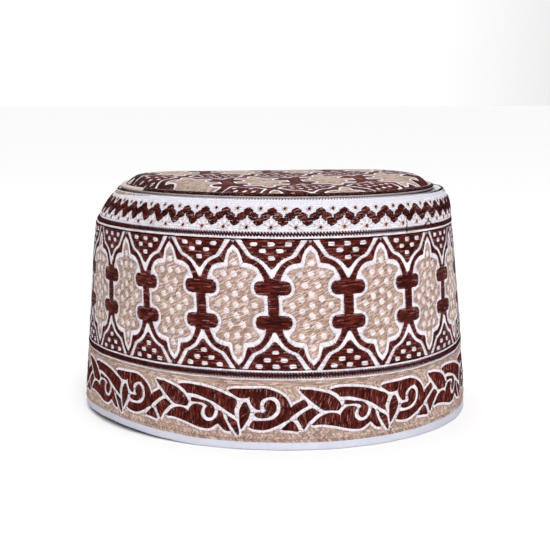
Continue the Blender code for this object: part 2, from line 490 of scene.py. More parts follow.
# Leaf scroll along the foot of the wall: one repeat, charted in millimetres, with
# the tip of the bud at u = -14.4. A third value marks a corner of the outline.
SCROLL_LENGTH = 70.2
SCROLL_START = -14.4
SCROLL_REPEATS = 8
SCROLL_SWAY = 0.045
SCROLL_PHASE = 0.487
SCROLL = {
    "spiral": [
        (-21.6, 25.0, 1), (-20, 25.6), (-17, 25.85), (-14, 25.95), (-10, 26.1), (-7, 26.3),
        (-4, 26.3), (-1.5, 25.6), (.3, 25.0), (1.5, 24.3), (2.6, 23.6), (3.7, 22.8), (4.5, 21.8),
        (5.2, 20.5), (5.7, 19.3), (6.0, 18.2), (6.0, 14.3), (5.2, 13.4), (4.0, 12.8), (3.0, 12.4),
        (2.0, 11.9), (1.0, 11.1), (-.5, 10.5), (-2, 9.9), (-4, 9.1), (-6, 8.75), (-8, 8.75),
        (-10, 8.95), (-11.6, 9.3), (-12.7, 9.8, 1), (-11.7, 11.4), (-11.0, 12.3), (-10.4, 12.8, 1),
        (-9.5, 12.5), (-8, 12.5), (-6, 12.6), (-4, 12.75), (-2.5, 13.1), (-1, 13.8), (0, 14.6),
        (1.0, 15.9), (1.5, 17.2), (1.65, 18.7), (1.5, 20.2), (.9, 21.5), (0, 22.3), (-1.0, 23.0),
        (-2.5, 22.95), (-3.8, 22.7), (-5.2, 22.2), (-6.3, 21.6), (-7.0, 20.9), (-7.3, 20.1),
        (-7.3, 18.2), (-7.5, 17.3, 1), (-8.2, 17.1), (-9.2, 17.5), (-10.1, 18.2), (-11.0, 19.2),
        (-11.6, 20.2), (-11.85, 21.2), (-12.0, 22.4, 1), (-13, 22.1), (-14.5, 21.9), (-16, 21.9),
        (-17.3, 22.2), (-18.5, 22.8), (-19.7, 23.6), (-20.8, 24.3),
    ],
    "curl": [
        (-10.1, 14.9), (-9.6, 15.9, 1), (-8, 16.1), (-6.5, 16.1), (-5.2, 16.2), (-4.9, 16.9),
        (-5.3, 17.7), (-5.6, 19.0, 1), (-5.3, 19.9), (-4.8, 20.7), (-4.0, 21.2), (-3.0, 21.6),
        (-2.0, 21.4), (-1.1, 20.8), (-.5, 20.0), (-.2, 19.0), (-.2, 17.9), (-.5, 16.9),
        (-1.1, 16.0), (-2.0, 15.2), (-3.2, 14.5), (-4.6, 14.0), (-6.2, 13.8), (-7.8, 13.8),
        (-9.0, 14.1), (-9.8, 14.5),
    ],
    "bud": [
        (-13.9, 20.3, 1), (-13.2, 19.9), (-12.8, 18.9), (-12.2, 17.7), (-11.8, 16.6),
        (-12.0, 15.6), (-12.4, 14.4), (-13.0, 13.1), (-13.8, 11.9), (-14.8, 10.6), (-15.8, 9.2),
        (-16.3, 8.7, 1), (-16.7, 9.3), (-16.8, 10.8), (-16.9, 12.5), (-16.9, 14.5), (-16.8, 16.2),
        (-16.3, 17.6), (-15.6, 18.9), (-14.9, 20.0),
    ],
    "upper stem": [
        (6.1, 18.3, 1), (7.0, 19.2), (8.2, 20.0), (9.3, 20.5), (10.5, 21.1), (11.4, 21.7),
        (11.9, 21.8, 1), (12.5, 21.1), (13.2, 20.4), (13.6, 19.6, 1), (13.4, 19.0), (12.5, 18.6),
        (11.0, 17.8), (9.5, 16.8), (8.2, 16.0), (7.2, 15.3), (6.2, 14.5, 1),
    ],
    "lower stem": [
        (8.7, 13.9, 1), (9.5, 14.8), (10.7, 15.7), (12.2, 16.7), (13.7, 17.5), (15.5, 18.2, 1),
        (16.5, 17.6), (17.5, 17.1), (18.8, 16.1, 1), (18.0, 15.7), (17, 15.0), (16, 14.2),
        (15, 13.3), (14, 12.4), (13.1, 11.4), (12.5, 10.3), (11.6, 9.0, 1), (11.0, 9.7),
        (10.3, 11.0), (9.6, 12.2), (8.9, 13.3),
    ],
    "wedge": [
        (1.5, 9.1, 1), (2.5, 9.9), (3.5, 10.8), (4.5, 11.6), (5.3, 12.2), (6.3, 12.8, 1),
        (7.2, 12.2), (8.0, 11.2), (8.6, 10.2), (9.1, 9.2), (9.3, 8.3, 1), (8.5, 8.2), (7, 8.5),
        (5, 8.7), (3, 8.8),
    ],
    "almond": [
        (10.0, 26.2, 1), (11.5, 25.95), (13, 25.9), (15, 25.9), (16.5, 25.5), (18, 25.25),
        (19.5, 24.9), (21, 24.5), (22.5, 24.1), (24, 23.3), (25.3, 22.5), (26.5, 21.6),
        (27.4, 20.6), (28.0, 19.8), (28.5, 18.7), (28.6, 18.1), (28.0, 17.2), (27.6, 16.7),
        (26.6, 16.5), (25, 16.7), (23, 16.8), (21.5, 16.8), (20.5, 17.0), (19.8, 17.4),
        (18.8, 18.1), (17.5, 19.1), (16.3, 20.0), (15.2, 20.9), (14.0, 21.9), (13.0, 22.8),
        (12.0, 23.7), (11, 24.7), (10.2, 25.6),
    ],
    "long leaf": [
        (23.6, 25.6, 1), (25, 26.0), (28, 26.3), (30, 26.3), (33, 26.1), (36, 25.85), (39, 25.4),
        (42, 24.85), (44, 24.3), (46, 23.7), (48, 22.9), (49.5, 22.4), (51, 21.9), (52, 21.2),
        (52.5, 20.4), (52.3, 19.4), (51.9, 18.5), (51.4, 17.5), (51.1, 16.5), (51.2, 15.4),
        (51.3, 14.2, 1), (50.3, 14.7), (49, 15.4), (47.5, 16.3), (46, 17.2), (44.5, 18.1),
        (43, 18.9), (41.5, 19.6), (39.5, 20.3), (37.5, 20.9), (35.5, 21.5), (33.5, 22.0),
        (32, 22.2), (30, 22.3), (28, 22.3, 1), (27.5, 22.9), (26.8, 23.7), (25.3, 24.5),
        (24.3, 25.0),
    ],
    "lobed leaf": [
        (15.1, 11.1, 1), (16, 11.9), (17, 12.7), (18, 13.6), (19, 14.3), (20, 14.8), (21, 15.2),
        (22.5, 15.5), (24, 15.6), (25.5, 15.5), (27, 15.0), (28.3, 14.4, 1), (28.6, 15.3),
        (29.2, 16.2), (30.2, 17.1), (31.2, 17.7), (32.4, 18.0), (34, 17.9), (35.3, 17.7),
        (36.1, 17.2, 1), (35.4, 15.9), (34.9, 14.9), (34.8, 13.9), (35.2, 12.9), (36, 12.1),
        (37, 11.4), (38.5, 11.2), (40, 11.4), (41.2, 12.0), (42, 12.7), (42.8, 13.5),
        (43.3, 14.6), (43.6, 16.2, 1), (44.3, 16.1), (45.2, 15.5), (45.8, 15.0, 1), (45.9, 13.3),
        (46.4, 12.4), (47, 11.2), (47.7, 9.9), (48.3, 8.7), (48.8, 7.5, 1), (47, 7.7),
        (45.8, 8.1), (44.8, 9.0), (43.8, 9.9), (43.0, 10.7, 1), (42, 10.0), (41, 9.3),
        (39.8, 8.6), (38.5, 8.1), (37, 8.0), (35, 8.1), (33, 8.35), (31, 8.8), (29, 9.3),
        (27, 9.8), (24, 10.4), (22, 10.7), (20, 11.0), (18, 11.0), (16, 10.75),
    ],
    "arm": [
        (30.0, 19.0, 1), (30.2, 20.6, 1), (31.5, 20.6), (33, 20.4), (35, 20.0), (37, 19.7),
        (39, 19.3), (40, 18.7), (41, 18.0), (41.7, 17.2), (41.9, 16.2), (41.5, 15.0),
        (41, 13.9), (40.2, 13.1), (39.2, 12.7), (38.2, 12.8), (37.4, 13.4), (36.9, 14.4),
        (36.9, 15.5), (37.3, 16.5), (38.5, 17.5, 1), (37.5, 18.3), (36, 18.8), (34, 19.0),
        (32, 18.9),
    ],
    "dagger": [
        (47.7, 14.1, 1), (49.5, 13.3), (51, 12.5), (51.9, 11.9, 1), (52.2, 10.8), (52.6, 9.2),
        (52.9, 7.6), (52.5, 6.0, 1), (51.8, 6.6), (50.8, 7.9), (49.6, 9.6), (48.6, 11.2),
        (47.9, 12.6),
    ],
}


def smoothed(chart):
    """Closed outline through charted points, smooth except at its corners."""
    points = np.array([point[:2] for point in chart], dtype=float)
    corner = np.array([len(point) == 3 for point in chart])
    count = len(points)
    slope = np.roll(points, -1, axis=0) - np.roll(points, 1, axis=0)
    result = []
    for index in range(count):
        after = (index + 1) % count
        start, end = points[index], points[after]
        step = np.linalg.norm(end - start)
        leave = (end - start) if corner[index] else slope[index] / 2
        arrive = (end - start) if corner[after] else slope[after] / 2
        for share in np.arange(0, 1, 1 / max(1, ceil(step / 0.5))):
            square, cube = share ** 2, share ** 3
            result.append(
                start * (2 * cube - 3 * square + 1) + end * (3 * square - 2 * cube)
                + leave * (cube - 2 * square + share) + arrive * (cube - square)
            )
    return np.array(result)


scroll = {name: smoothed(chart) for name, chart in SCROLL.items()}


def scroll_place(chart):
    """Point of the cloth at a place of the scroll, whose repeats differ a little in length."""
    phase = (chart[:, 0] - SCROLL_START) / SCROLL_LENGTH
    share = (phase - SCROLL_PHASE) / SCROLL_REPEATS
    for _ in range(8):
        sway = SCROLL_SWAY / tau * np.sin(tau * share)
        share = (phase - SCROLL_PHASE) / SCROLL_REPEATS - sway
    return wall_place(np.stack([share * ROUND + NOSE * PITCH, chart[:, 1]], axis=-1))


def scroll_chart(chart):
    """Place in the first repeat of the scroll, from a place on the wall's chart."""
    share = (chart[:, 0] - NOSE * PITCH) / ROUND
    phase = SCROLL_REPEATS * (share + SCROLL_SWAY / tau * np.sin(tau * share)) + SCROLL_PHASE
    return np.stack([(phase % 1.0) * SCROLL_LENGTH + SCROLL_START, chart[:, 1]], axis=-1)


SCROLL_LOW, SCROLL_HIGH = 4.1, 30.2
GROUND_COLUMNS = 400
GROUND_STEP = 1.5
WALL_FOOT = 4.7
shares = np.arange(GROUND_COLUMNS) / GROUND_COLUMNS - 0.5


def wall_colours(chart):
    """How brown and how tan the thread over a place of the wall is, as shares."""
    spot = np.stack([(chart[:, 0] % PITCH) - CELL, chart[:, 1] - LATTICE_MIDDLE], axis=-1)
    lattice = (chart[:, 1] > LATTICE_LOW) & (chart[:, 1] < LATTICE_HIGH)
    knot_spot = np.stack([(spot[:, 0] % PITCH + CELL) % PITCH - CELL, spot[:, 1]], axis=-1)
    knot_spot[:, 0] = (chart[:, 0] + CELL) % PITCH - CELL
    folded = np.stack([knot_spot[:, 0], np.abs(knot_spot[:, 1])], axis=-1)
    brown = inside(knot_spot, network) | inside(folded, field_outline(HALF_HEIGHT + 0.2))
    tan = inside(spot, tan_outline)
    border = chart[:, 1] < SCROLL_HIGH
    where = scroll_chart(chart)
    leaf = np.zeros(len(chart), dtype=bool)
    for turn in (0, SCROLL_LENGTH):
        for outline in scroll.values():
            leaf |= inside(where - [turn, 0], outline)
    return (lattice & brown) | (border & leaf), (lattice & tan) | (border & ~leaf)


wall_lengths = np.concatenate([
    np.arange(WALL_FOOT, CREASE - 0.3, GROUND_STEP), [CREASE - 0.15]])
wall_loops = [ring_place(shares, length) for length in wall_lengths]
wall_charts = [wall_chart(shares, np.full(len(shares), length)) for length in wall_lengths]
inner_loops = behind(wall_loops, CLOTH)[::-8]
inner_loops.append(behind(wall_loops, CLOTH)[0])
inner_charts = [wall_charts[0]] * len(inner_loops)
wall_mesh = hoop("side_wall_cloth", wall_loops + inner_loops, wall_charts + inner_charts)
wall_brown, wall_tan = wall_colours(np.concatenate(wall_charts))
blank = np.zeros(len(inner_loops) * GROUND_COLUMNS)
store(wall_mesh, "brown", "FLOAT", np.concatenate([wall_brown, blank]))
store(wall_mesh, "tan", "FLOAT", np.concatenate([wall_tan, blank]))

# Cloth under the stitching: the brown and tan of the thread above it, but darker than the thread, so
# that the gaps between stitches show painted shade.
BROWN = (0.028, 0.004, 0.004, 1.0)
TAN = (0.34, 0.25, 0.195, 1.0)
WHITE = (0.60, 0.61, 0.69, 1.0)
WEAVE = 0.55              # spacing of the cotton's yarns


def cotton(name, thread_colour_and_gap_shade):
    """White cotton with its weave; under the stitching it has the thread's colour, darkened as
    painted shade for the gaps between stitches.
    """
    finish = Finish(name, WHITE[:3], 0.85, Specular_IOR_Level=0.08)
    place = finish.node("ShaderNodeTexCoord", output="Object")
    cloud = finish.node("ShaderNodeTexNoise", None, {"Vector": place, "Scale": 60.0})
    colour = finish.blend(cloud, (0.54, 0.55, 0.64, 1.0), (0.66, 0.66, 0.73, 1.0))
    if thread_colour_and_gap_shade:
        # Under the stitching: the thread's colour, darkened as painted shade in the gaps between
        # stitches.
        colour = finish.blend(finish.attribute("brown"), colour, BROWN)
        colour = finish.blend(finish.attribute("tan"), colour, TAN)
        chart = finish.attribute("chart", "Vector")
    else:
        chart = finish.node(
            "ShaderNodeVectorMath", {"operation": "SCALE"}, {0: place, "Scale": 1000.0})
    finish.feed("Base Color", colour)
    wave = {"wave_type": "BANDS", "bands_direction": "X"}
    warp = finish.node("ShaderNodeTexWave", wave, {
        "Vector": chart, "Scale": tau / 20 / WEAVE, "Distortion": 0.6}, output="Fac")
    weft = finish.node("ShaderNodeTexWave", dict(wave, bands_direction="Y"), {
        "Vector": chart, "Scale": tau / 20 / WEAVE, "Distortion": 0.6}, output="Fac")
    finish.bump(warp * weft, 0.5, 0.0003)
    return finish.material


wall_mesh.materials.append(cotton("thread coloured cotton with painted gap shade", True))
show("side_wall_cloth", wall_mesh, "white_cotton", "side_wall")


# Hem binding: a strip of plain white cotton folded round the lower edge and sewn down.
# The cap stands on it; its face is slightly uneven where the sewing pulls it in.
HEM_TOP = 4.4
HEM_THICK = 2.6
hem_turns = np.linspace(0, tau, 14, endpoint=False) - pi / 2
hem_loops = []
for turn in hem_turns:
    high = HEM_TOP / 2 + HEM_TOP / 2 * signed_power(sin(turn), 0.6)
    deep = HEM_THICK / 2 * (1 - signed_power(cos(turn), 0.6))
    outer = ring_place(shares, np.full(len(shares), float(high)))
    pull = 0.12 * np.sin(150 * tau * shares) * (deep < HEM_THICK / 2)
    centre = outer * [0, 0, 1]
    flat = outer - centre
    reach = np.linalg.norm(flat, axis=-1, keepdims=True)
    hem_loops.append(centre + flat * (1 - (deep + pull[:, None]) / reach))
hem_mesh = hoop("hem_cloth", hem_loops)
hem_mesh.materials.append(cotton("plain cotton", False))
show("hem_cloth", hem_mesh, "white_cotton", "hem_binding")


# Shoulder band: white cotton that leans in from the crease and turns in under the top.
# It is the same cloth as the wall, cut from the same chart above the crease.
shoulder_lengths = np.concatenate([
    [CREASE + 0.3], np.arange(CREASE + 1, BAND_TOP, 1.2), [BAND_TOP]])
shoulder_loops = [ring_place(shares, length) for length in shoulder_lengths]
shoulder_inner = behind(shoulder_loops, CLOTH)[::-4]
shoulder_inner.append(behind(shoulder_loops, CLOTH)[0])
shoulder_mesh = hoop("shoulder_cloth", shoulder_loops + shoulder_inner)
shoulder_mesh.materials.append(bpy.data.materials["plain cotton"])
show("shoulder_cloth", shoulder_mesh, "white_cotton", "shoulder_band")


# Crown: one oval of cotton, stitched all over, that swells a little above its seam and rises
# a little more towards its middle. Its pattern is the wall's, laid flat in rows that spread
# out and lean a little towards the back, and cut off at the seam.
WELT_CORD = 2.4
SEAM_GAP = 0.3
CROWN_EDGE_HEIGHT = WALL_HEIGHT + SHOULDER_HEIGHT + SEAM_GAP + WELT_CORD / 2
EDGE_ACROSS = CROWN_ACROSS / 2 - WELT_CORD - SEAM_GAP
EDGE_ALONG = CROWN_ALONG / 2 - WELT_CORD - SEAM_GAP
CROWN_PUFF, CROWN_DOME, CROWN_SADDLE = 3.3, 0.9, 1.8
CROWN_REACH = (0, 0.26, 0.52, 0.74, 0.86, 0.93, 0.975, 1.0)
CROWN_RISE = (1, 1, 1, 1, 0.97, 0.78, 0.42, 0)
CROWN_MIDDLE = (1, 0.9, 0.6, 0.2, 0, 0, 0, 0)
fine_reach = np.linspace(0, 1, 201)


def eased(values):
    """Section of the crown read off its levels, with the bends rounded."""
    raw = np.interp(fine_reach, CROWN_REACH, values)
    window = np.ones(9) / 9
    padded = np.pad(raw, 4, mode="reflect", reflect_type="odd")
    return np.convolve(padded, window, mode="valid")


crown_rise, crown_dome = eased(CROWN_RISE), eased(CROWN_MIDDLE)


def oval_reach(x, y):
    """How far out from the crown's middle a point lies, 1 at the seam."""
    across = np.abs((x - CROWN_SHIFT) / EDGE_ACROSS) ** OUTLINE_POWER
    along = np.abs(y / EDGE_ALONG) ** OUTLINE_POWER
    return (across + along) ** (1 / OUTLINE_POWER)


def crown_place(chart):
    """Point of the crown's upper face over a place (x, y)."""
    x, y = chart[:, 0], chart[:, 1]
    reach = np.minimum(oval_reach(x, y), 1.0)
    angle = np.arctan2((x - CROWN_SHIFT) / EDGE_ACROSS, -y / EDGE_ALONG)
    rise = np.interp(reach, fine_reach, crown_rise)
    dome = np.interp(reach, fine_reach, crown_dome)
    saddle = rise * reach ** 2 * CROWN_SADDLE * np.cos(2 * angle)
    ripple = 0.12 * np.sin(x / 7) * np.sin(y / 8 + x / 19) * (1 - reach)
    height = CROWN_EDGE_HEIGHT + CLOTH / 2 + rise * CROWN_PUFF + dome * CROWN_DOME
    return np.stack([x, y, height - saddle + ripple], axis=-1)


LATTICE_TURN = radians(8.7)
LATTICE_PLACE = (-15.0, -46.0)  # middle of one medallion
LATTICE_SPREAD = 0.005    # how much the rows spread out towards the back
LATTICE_LEAN = 0.15       # how far a row shifts sideways, as a share of how far back it lies


def row_place(v):
    """How far back a place of the lattice lies on the cloth."""
    return v + LATTICE_SPREAD * v * np.clip(v, -30, 40)


def crown_lattice(chart):
    """Place on the crown, from a place on the lattice around one medallion."""
    y = row_place(chart[:, 1])
    x = chart[:, 0] + y * LATTICE_LEAN
    c, s = cos(LATTICE_TURN), sin(LATTICE_TURN)
    return np.stack([LATTICE_PLACE[0] + x * c - y * s, LATTICE_PLACE[1] + x * s + y * c], axis=-1)


def crown_unlattice(chart):
    """The other way round, folded into one repeat."""
    x, y = (chart - LATTICE_PLACE).T
    c, s = cos(LATTICE_TURN), sin(LATTICE_TURN)
    u, v = x * c + y * s, y * c - x * s
    u = u - v * LATTICE_LEAN
    rows = np.linspace(-200, 200, 801)
    v = np.interp(v, row_place(rows), rows)
    return np.stack([(u + CELL) % PITCH - CELL, (v + HALF_HEIGHT) % (2 * HALF_HEIGHT) - HALF_HEIGHT],
                    axis=-1)


CROWN_COLUMNS = 240
crown_turns = np.arange(CROWN_COLUMNS) * tau / CROWN_COLUMNS
crown_rim = np.stack([EDGE_ACROSS * signed_power(np.sin(crown_turns), 2 / OUTLINE_POWER),
                      -EDGE_ALONG * signed_power(np.cos(crown_turns), 2 / OUTLINE_POWER)], axis=-1)
crown_reaches = np.concatenate([[1.0, 0.994], np.arange(0.975, 0.02, -0.025)])
crown_middle = np.array([CROWN_SHIFT, 0.0])
top_charts = [crown_middle + crown_rim * reach for reach in crown_reaches]
top_points = [crown_place(chart) for chart in top_charts]
under_reaches = [1.0, 0.975, 0.93, 0.86, 0.74, 0.52, 0.26, 0.06]
under_points = [
    crown_place(crown_middle + crown_rim * reach) - [0, 0, CLOTH] for reach in under_reaches
]
crown_corners = np.concatenate(under_points[::-1] + top_points)
crown_middles = np.stack([crown_place(crown_middle[None])[0] - [0, 0, CLOTH],
                          crown_place(crown_middle[None])[0]])
crown_corners = np.concatenate([crown_corners, crown_middles]) * MM
here = np.arange(CROWN_COLUMNS)
there = (here + 1) % CROWN_COLUMNS
crown_faces = []
loop_count = len(under_points) + len(top_points)
for row in range(loop_count - 1):
    low, high = row * CROWN_COLUMNS, (row + 1) * CROWN_COLUMNS
    crown_faces += np.stack([low + here, low + there, high + there, high + here], -1).tolist()
last = (loop_count - 1) * CROWN_COLUMNS
under_middle, top_middle = loop_count * CROWN_COLUMNS, loop_count * CROWN_COLUMNS + 1
crown_faces += np.stack([last + here, last + there, np.full(CROWN_COLUMNS, top_middle)], -1).tolist()
crown_faces += np.stack([there, here, np.full(CROWN_COLUMNS, under_middle)], -1).tolist()
crown_mesh = bpy.data.meshes.new("crown_cloth")
crown_mesh.from_pydata(crown_corners.tolist(), [], crown_faces)
crown_mesh.shade_smooth()


def crown_colours(chart):
    """How brown and how tan the thread over a place of the crown is, as shares."""
    spot = crown_unlattice(chart)
    tan = inside(spot, tan_outline)
    return ~tan, tan


crown_spots = np.concatenate(
    [crown_middle + crown_rim * reach for reach in under_reaches[::-1]] + top_charts
    + [crown_middle[None], crown_middle[None]])
crown_brown, crown_tan = crown_colours(crown_spots)
store(crown_mesh, "brown", "FLOAT", crown_brown)
store(crown_mesh, "tan", "FLOAT", crown_tan)
store(crown_mesh, "chart", "FLOAT_VECTOR", np.c_[crown_spots, np.zeros(len(crown_spots))])
crown_mesh.materials.append(bpy.data.materials["thread coloured cotton with painted gap shade"])
show("crown_cloth", crown_mesh, "brown_embroidery", "crown_disc")


# Crown seam: a tan cord sewn into the join between the shoulder band and the top.
# Its outer side is whipped with white thread, and dark thread runs along it at the front.
CORD_RADIUS = WELT_CORD / 2
CORD_SIDES = 14


def cord_place(chart):
    """Point of the cord at a length u round it and an angle v up from its outer side."""
    share = chart[:, 0] / ROUND
    angle = np.interp((share + 0.5) % 1.0 - 0.5, oval_shares, oval_angles)
    inset = CORD_RADIUS * (1 - np.cos(chart[:, 1]))
    across, along = CROWN_ACROSS / 2 - inset, CROWN_ALONG / 2 - inset
    return np.stack([
        across * signed_power(np.sin(angle), 2 / OUTLINE_POWER) + CROWN_SHIFT,
        -along * signed_power(np.cos(angle), 2 / OUTLINE_POWER),
        CROWN_EDGE_HEIGHT + CORD_RADIUS * np.sin(chart[:, 1]),
    ], axis=-1)


cord_loops = [
    cord_place(np.stack([shares * ROUND, np.full(len(shares), turn)], axis=-1))
    for turn in np.linspace(-pi / 2, 3 * pi / 2, CORD_SIDES, endpoint=False)
]
cord_mesh = hoop("crown_cord", cord_loops)
cord_finish = Finish("tan cotton", TAN[:3], 0.8, Specular_IOR_Level=0.3)
cord_coordinates = cord_finish.node("ShaderNodeTexCoord", output="Object")
cord_cloud = cord_finish.node(
    "ShaderNodeTexNoise", None, {"Vector": cord_coordinates, "Scale": 400.0})
cord_finish.feed("Base Color", cord_finish.blend(
    cord_cloud, (0.48, 0.37, 0.32, 1.0), (0.66, 0.56, 0.52, 1.0)))
cord_finish.bump(cord_cloud, 0.4, 0.0004)
cord_mesh.materials.append(cord_finish.material)
show("crown_cord", cord_mesh, "tan_embroidery", "crown_welt")


# Thread: every stitch is a short run of shiny thread that rises out of the cloth and dips
# back into it. One low arched shape is set out on the points of each colour by this tree.
STITCH_RIDGE = 0.36


def stitch_shape():
    """Stitch one unit long, wide and high: a low hipped ridge with its base under the cloth."""
    shape = bmesh.new()
    base = [shape.verts.new((x, y, -0.25))
            for x, y in ((-0.5, -0.5), (0.5, -0.5), (0.5, 0.5), (-0.5, 0.5))]
    ridge = [shape.verts.new((side * STITCH_RIDGE, 0, 1.0)) for side in (-1, 1)]
    for corners in (
        (base[3], base[2], base[1], base[0]), (base[0], base[1], ridge[1], ridge[0]),
        (base[2], base[3], ridge[0], ridge[1]), (base[1], base[2], ridge[1]),
        (base[3], base[0], ridge[0]),
    ):
        shape.faces.new(corners)
    mesh = bpy.data.meshes.new("stitch")
    shape.to_mesh(mesh)
    shape.free()
    mesh.shade_smooth()
    return bpy.data.objects.new("stitch", mesh)


stitch = stitch_shape()
stitching = bpy.data.node_groups.new("stitching", "GeometryNodeTree")
for socket_name, kind in (
    ("Geometry", "NodeSocketGeometry"), ("Stitch", "NodeSocketObject"),
    ("Thread width", "NodeSocketFloat"), ("Thread height", "NodeSocketFloat"),
    ("Seed", "NodeSocketInt"), ("Thread", "NodeSocketMaterial"),
):
    stitching.interface.new_socket(socket_name, in_out="INPUT", socket_type=kind)
stitching.interface.new_socket("Geometry", in_out="OUTPUT", socket_type="NodeSocketGeometry")


def tree_node(kind, inputs=None, **settings):
    made = stitching.nodes.new(kind)
    for setting, value in settings.items():
        setattr(made, setting, value)
    for socket, value in (inputs or {}).items():
        if isinstance(value, bpy.types.NodeSocket):
            stitching.links.new(value, made.inputs[socket])
        else:
            made.inputs[socket].default_value = value
    return made


def field(name, kind):
    return tree_node("GeometryNodeInputNamedAttribute", {"Name": name}, data_type=kind).outputs[0]


tree_in = tree_node("NodeGroupInput").outputs
turned = tree_node("FunctionNodeAxesToRotation", {
    "Primary Axis": field("along", "FLOAT_VECTOR"),
    "Secondary Axis": field("up", "FLOAT_VECTOR")}, primary_axis="X", secondary_axis="Z")
wide = tree_node("ShaderNodeMath", {0: tree_in["Thread width"], 1: field("girth", "FLOAT")},
                 operation="MULTIPLY")
size = tree_node("ShaderNodeCombineXYZ", {
    "X": field("reach", "FLOAT"), "Y": wide.outputs[0], "Z": tree_in["Thread height"]})
picked = tree_node("GeometryNodeObjectInfo", {"Object": tree_in["Stitch"]})
set_out = tree_node("GeometryNodeInstanceOnPoints", {
    "Points": tree_in["Geometry"], "Instance": picked.outputs["Geometry"],
    "Rotation": turned.outputs[0], "Scale": size.outputs[0]})
chance = tree_node("FunctionNodeRandomValue", {"Seed": tree_in["Seed"]}, data_type="FLOAT")
shaded = tree_node("GeometryNodeStoreNamedAttribute", {
    "Geometry": set_out.outputs[0], "Name": "shade", "Value": chance.outputs[1]},
    data_type="FLOAT", domain="INSTANCE")
solid = tree_node("GeometryNodeRealizeInstances", {"Geometry": shaded.outputs[0]})
dyed = tree_node("GeometryNodeSetMaterial", {
    "Geometry": solid.outputs[0], "Material": tree_in["Thread"]})
tree_node("NodeGroupOutput", {0: dyed.outputs[0]})
sockets = {item.name: item.identifier for item in stitching.interface.items_tree
           if item.in_out == "INPUT"}


def thread(name, tones, roughness, specular):
    """Shiny embroidery thread whose colour differs a little from stitch to stitch; in the brown
    thread the palest stitches are painted highlight.
    """
    finish = Finish(name, tones[1][1], roughness, Specular_IOR_Level=specular)
    shade = finish.attribute("shade")
    place = finish.node("ShaderNodeTexCoord", output="Object")
    cloud = finish.node("ShaderNodeTexNoise", None, {"Vector": place, "Scale": 900.0, "Detail": 2.0})
    patch = finish.node("ShaderNodeTexNoise", None, {"Vector": place, "Scale": 45.0})
    tone = shade * 0.84 + cloud * 0.24 + patch * 0.24 - 0.16
    finish.feed("Base Color", finish.node("ShaderNodeValToRGB", {"stops": tones}, {0: tone}))
    finish.feed("Roughness", roughness - 0.08 + 0.16 * cloud)
    finish.bump(cloud, 0.35, 0.0002)
    return finish.material


# The brown's last, pale pink stop is painted highlight: the palest stitches are coloured as if they
# caught the light, in place of the sheen that the thread's low specular leaves out.
BROWN_TONES_AND_PAINTED_GLINTS = [
    (0.0, (0.018, 0.003, 0.004)), (0.30, (0.048, 0.006, 0.005)), (0.62, (0.100, 0.014, 0.010)),
    (0.84, (0.17, 0.030, 0.020)), (0.95, (0.36, 0.17, 0.15)),
]
ROPE_TONES = [
    (0.0, (0.018, 0.003, 0.004)), (0.5, (0.036, 0.005, 0.006)), (1.0, (0.08, 0.013, 0.012)),
]
DARK_TONES = [
    (0.0, (0.012, 0.002, 0.004)), (0.5, (0.022, 0.004, 0.005)), (1.0, (0.05, 0.010, 0.009)),
]
TAN_TONES = [
    (0.0, (0.185, 0.108, 0.088)), (0.28, (0.39, 0.257, 0.21)), (0.62, (0.54, 0.38, 0.32)),
    (0.95, (0.79, 0.66, 0.60)),
]
DULL_TONES = [
    (0.0, (0.17, 0.11, 0.09)), (0.28, (0.31, 0.225, 0.18)), (0.62, (0.43, 0.33, 0.275)),
    (0.95, (0.62, 0.52, 0.46)),
]
GREY_TONES = [
    (0.0, (0.16, 0.12, 0.11)), (0.5, (0.26, 0.21, 0.19)), (1.0, (0.40, 0.34, 0.31)),
]
PALE_TONES = [
    (0.0, (0.62, 0.54, 0.54)), (0.4, (0.80, 0.71, 0.72)), (1.0, (0.92, 0.84, 0.85)),
]
WHITE_TONES = [
    (0.0, (0.60, 0.53, 0.58)), (0.35, (0.80, 0.72, 0.76)), (1.0, (0.93, 0.85, 0.88)),
]
brown_thread = thread("brown thread", BROWN_TONES_AND_PAINTED_GLINTS, 0.50, 0.05)
rope_thread = thread("brown rope thread", ROPE_TONES, 0.50, 0.05)
dark_thread = thread("dark brown thread", DARK_TONES, 0.60, 0.03)
tan_thread = thread("tan thread", TAN_TONES, 0.55, 0.15)
dull_thread = thread("dull tan thread", DULL_TONES, 0.60, 0.05)
grey_thread = thread("grey brown thread", GREY_TONES, 0.60, 0.10)
white_thread = thread("white thread", WHITE_TONES, 0.60, 0.15)
pale_thread = thread("pale thread", PALE_TONES, 0.60, 0.10)
rng = np.random.default_rng(24)
ROW_PITCH = 0.48
LONGEST = 3.3


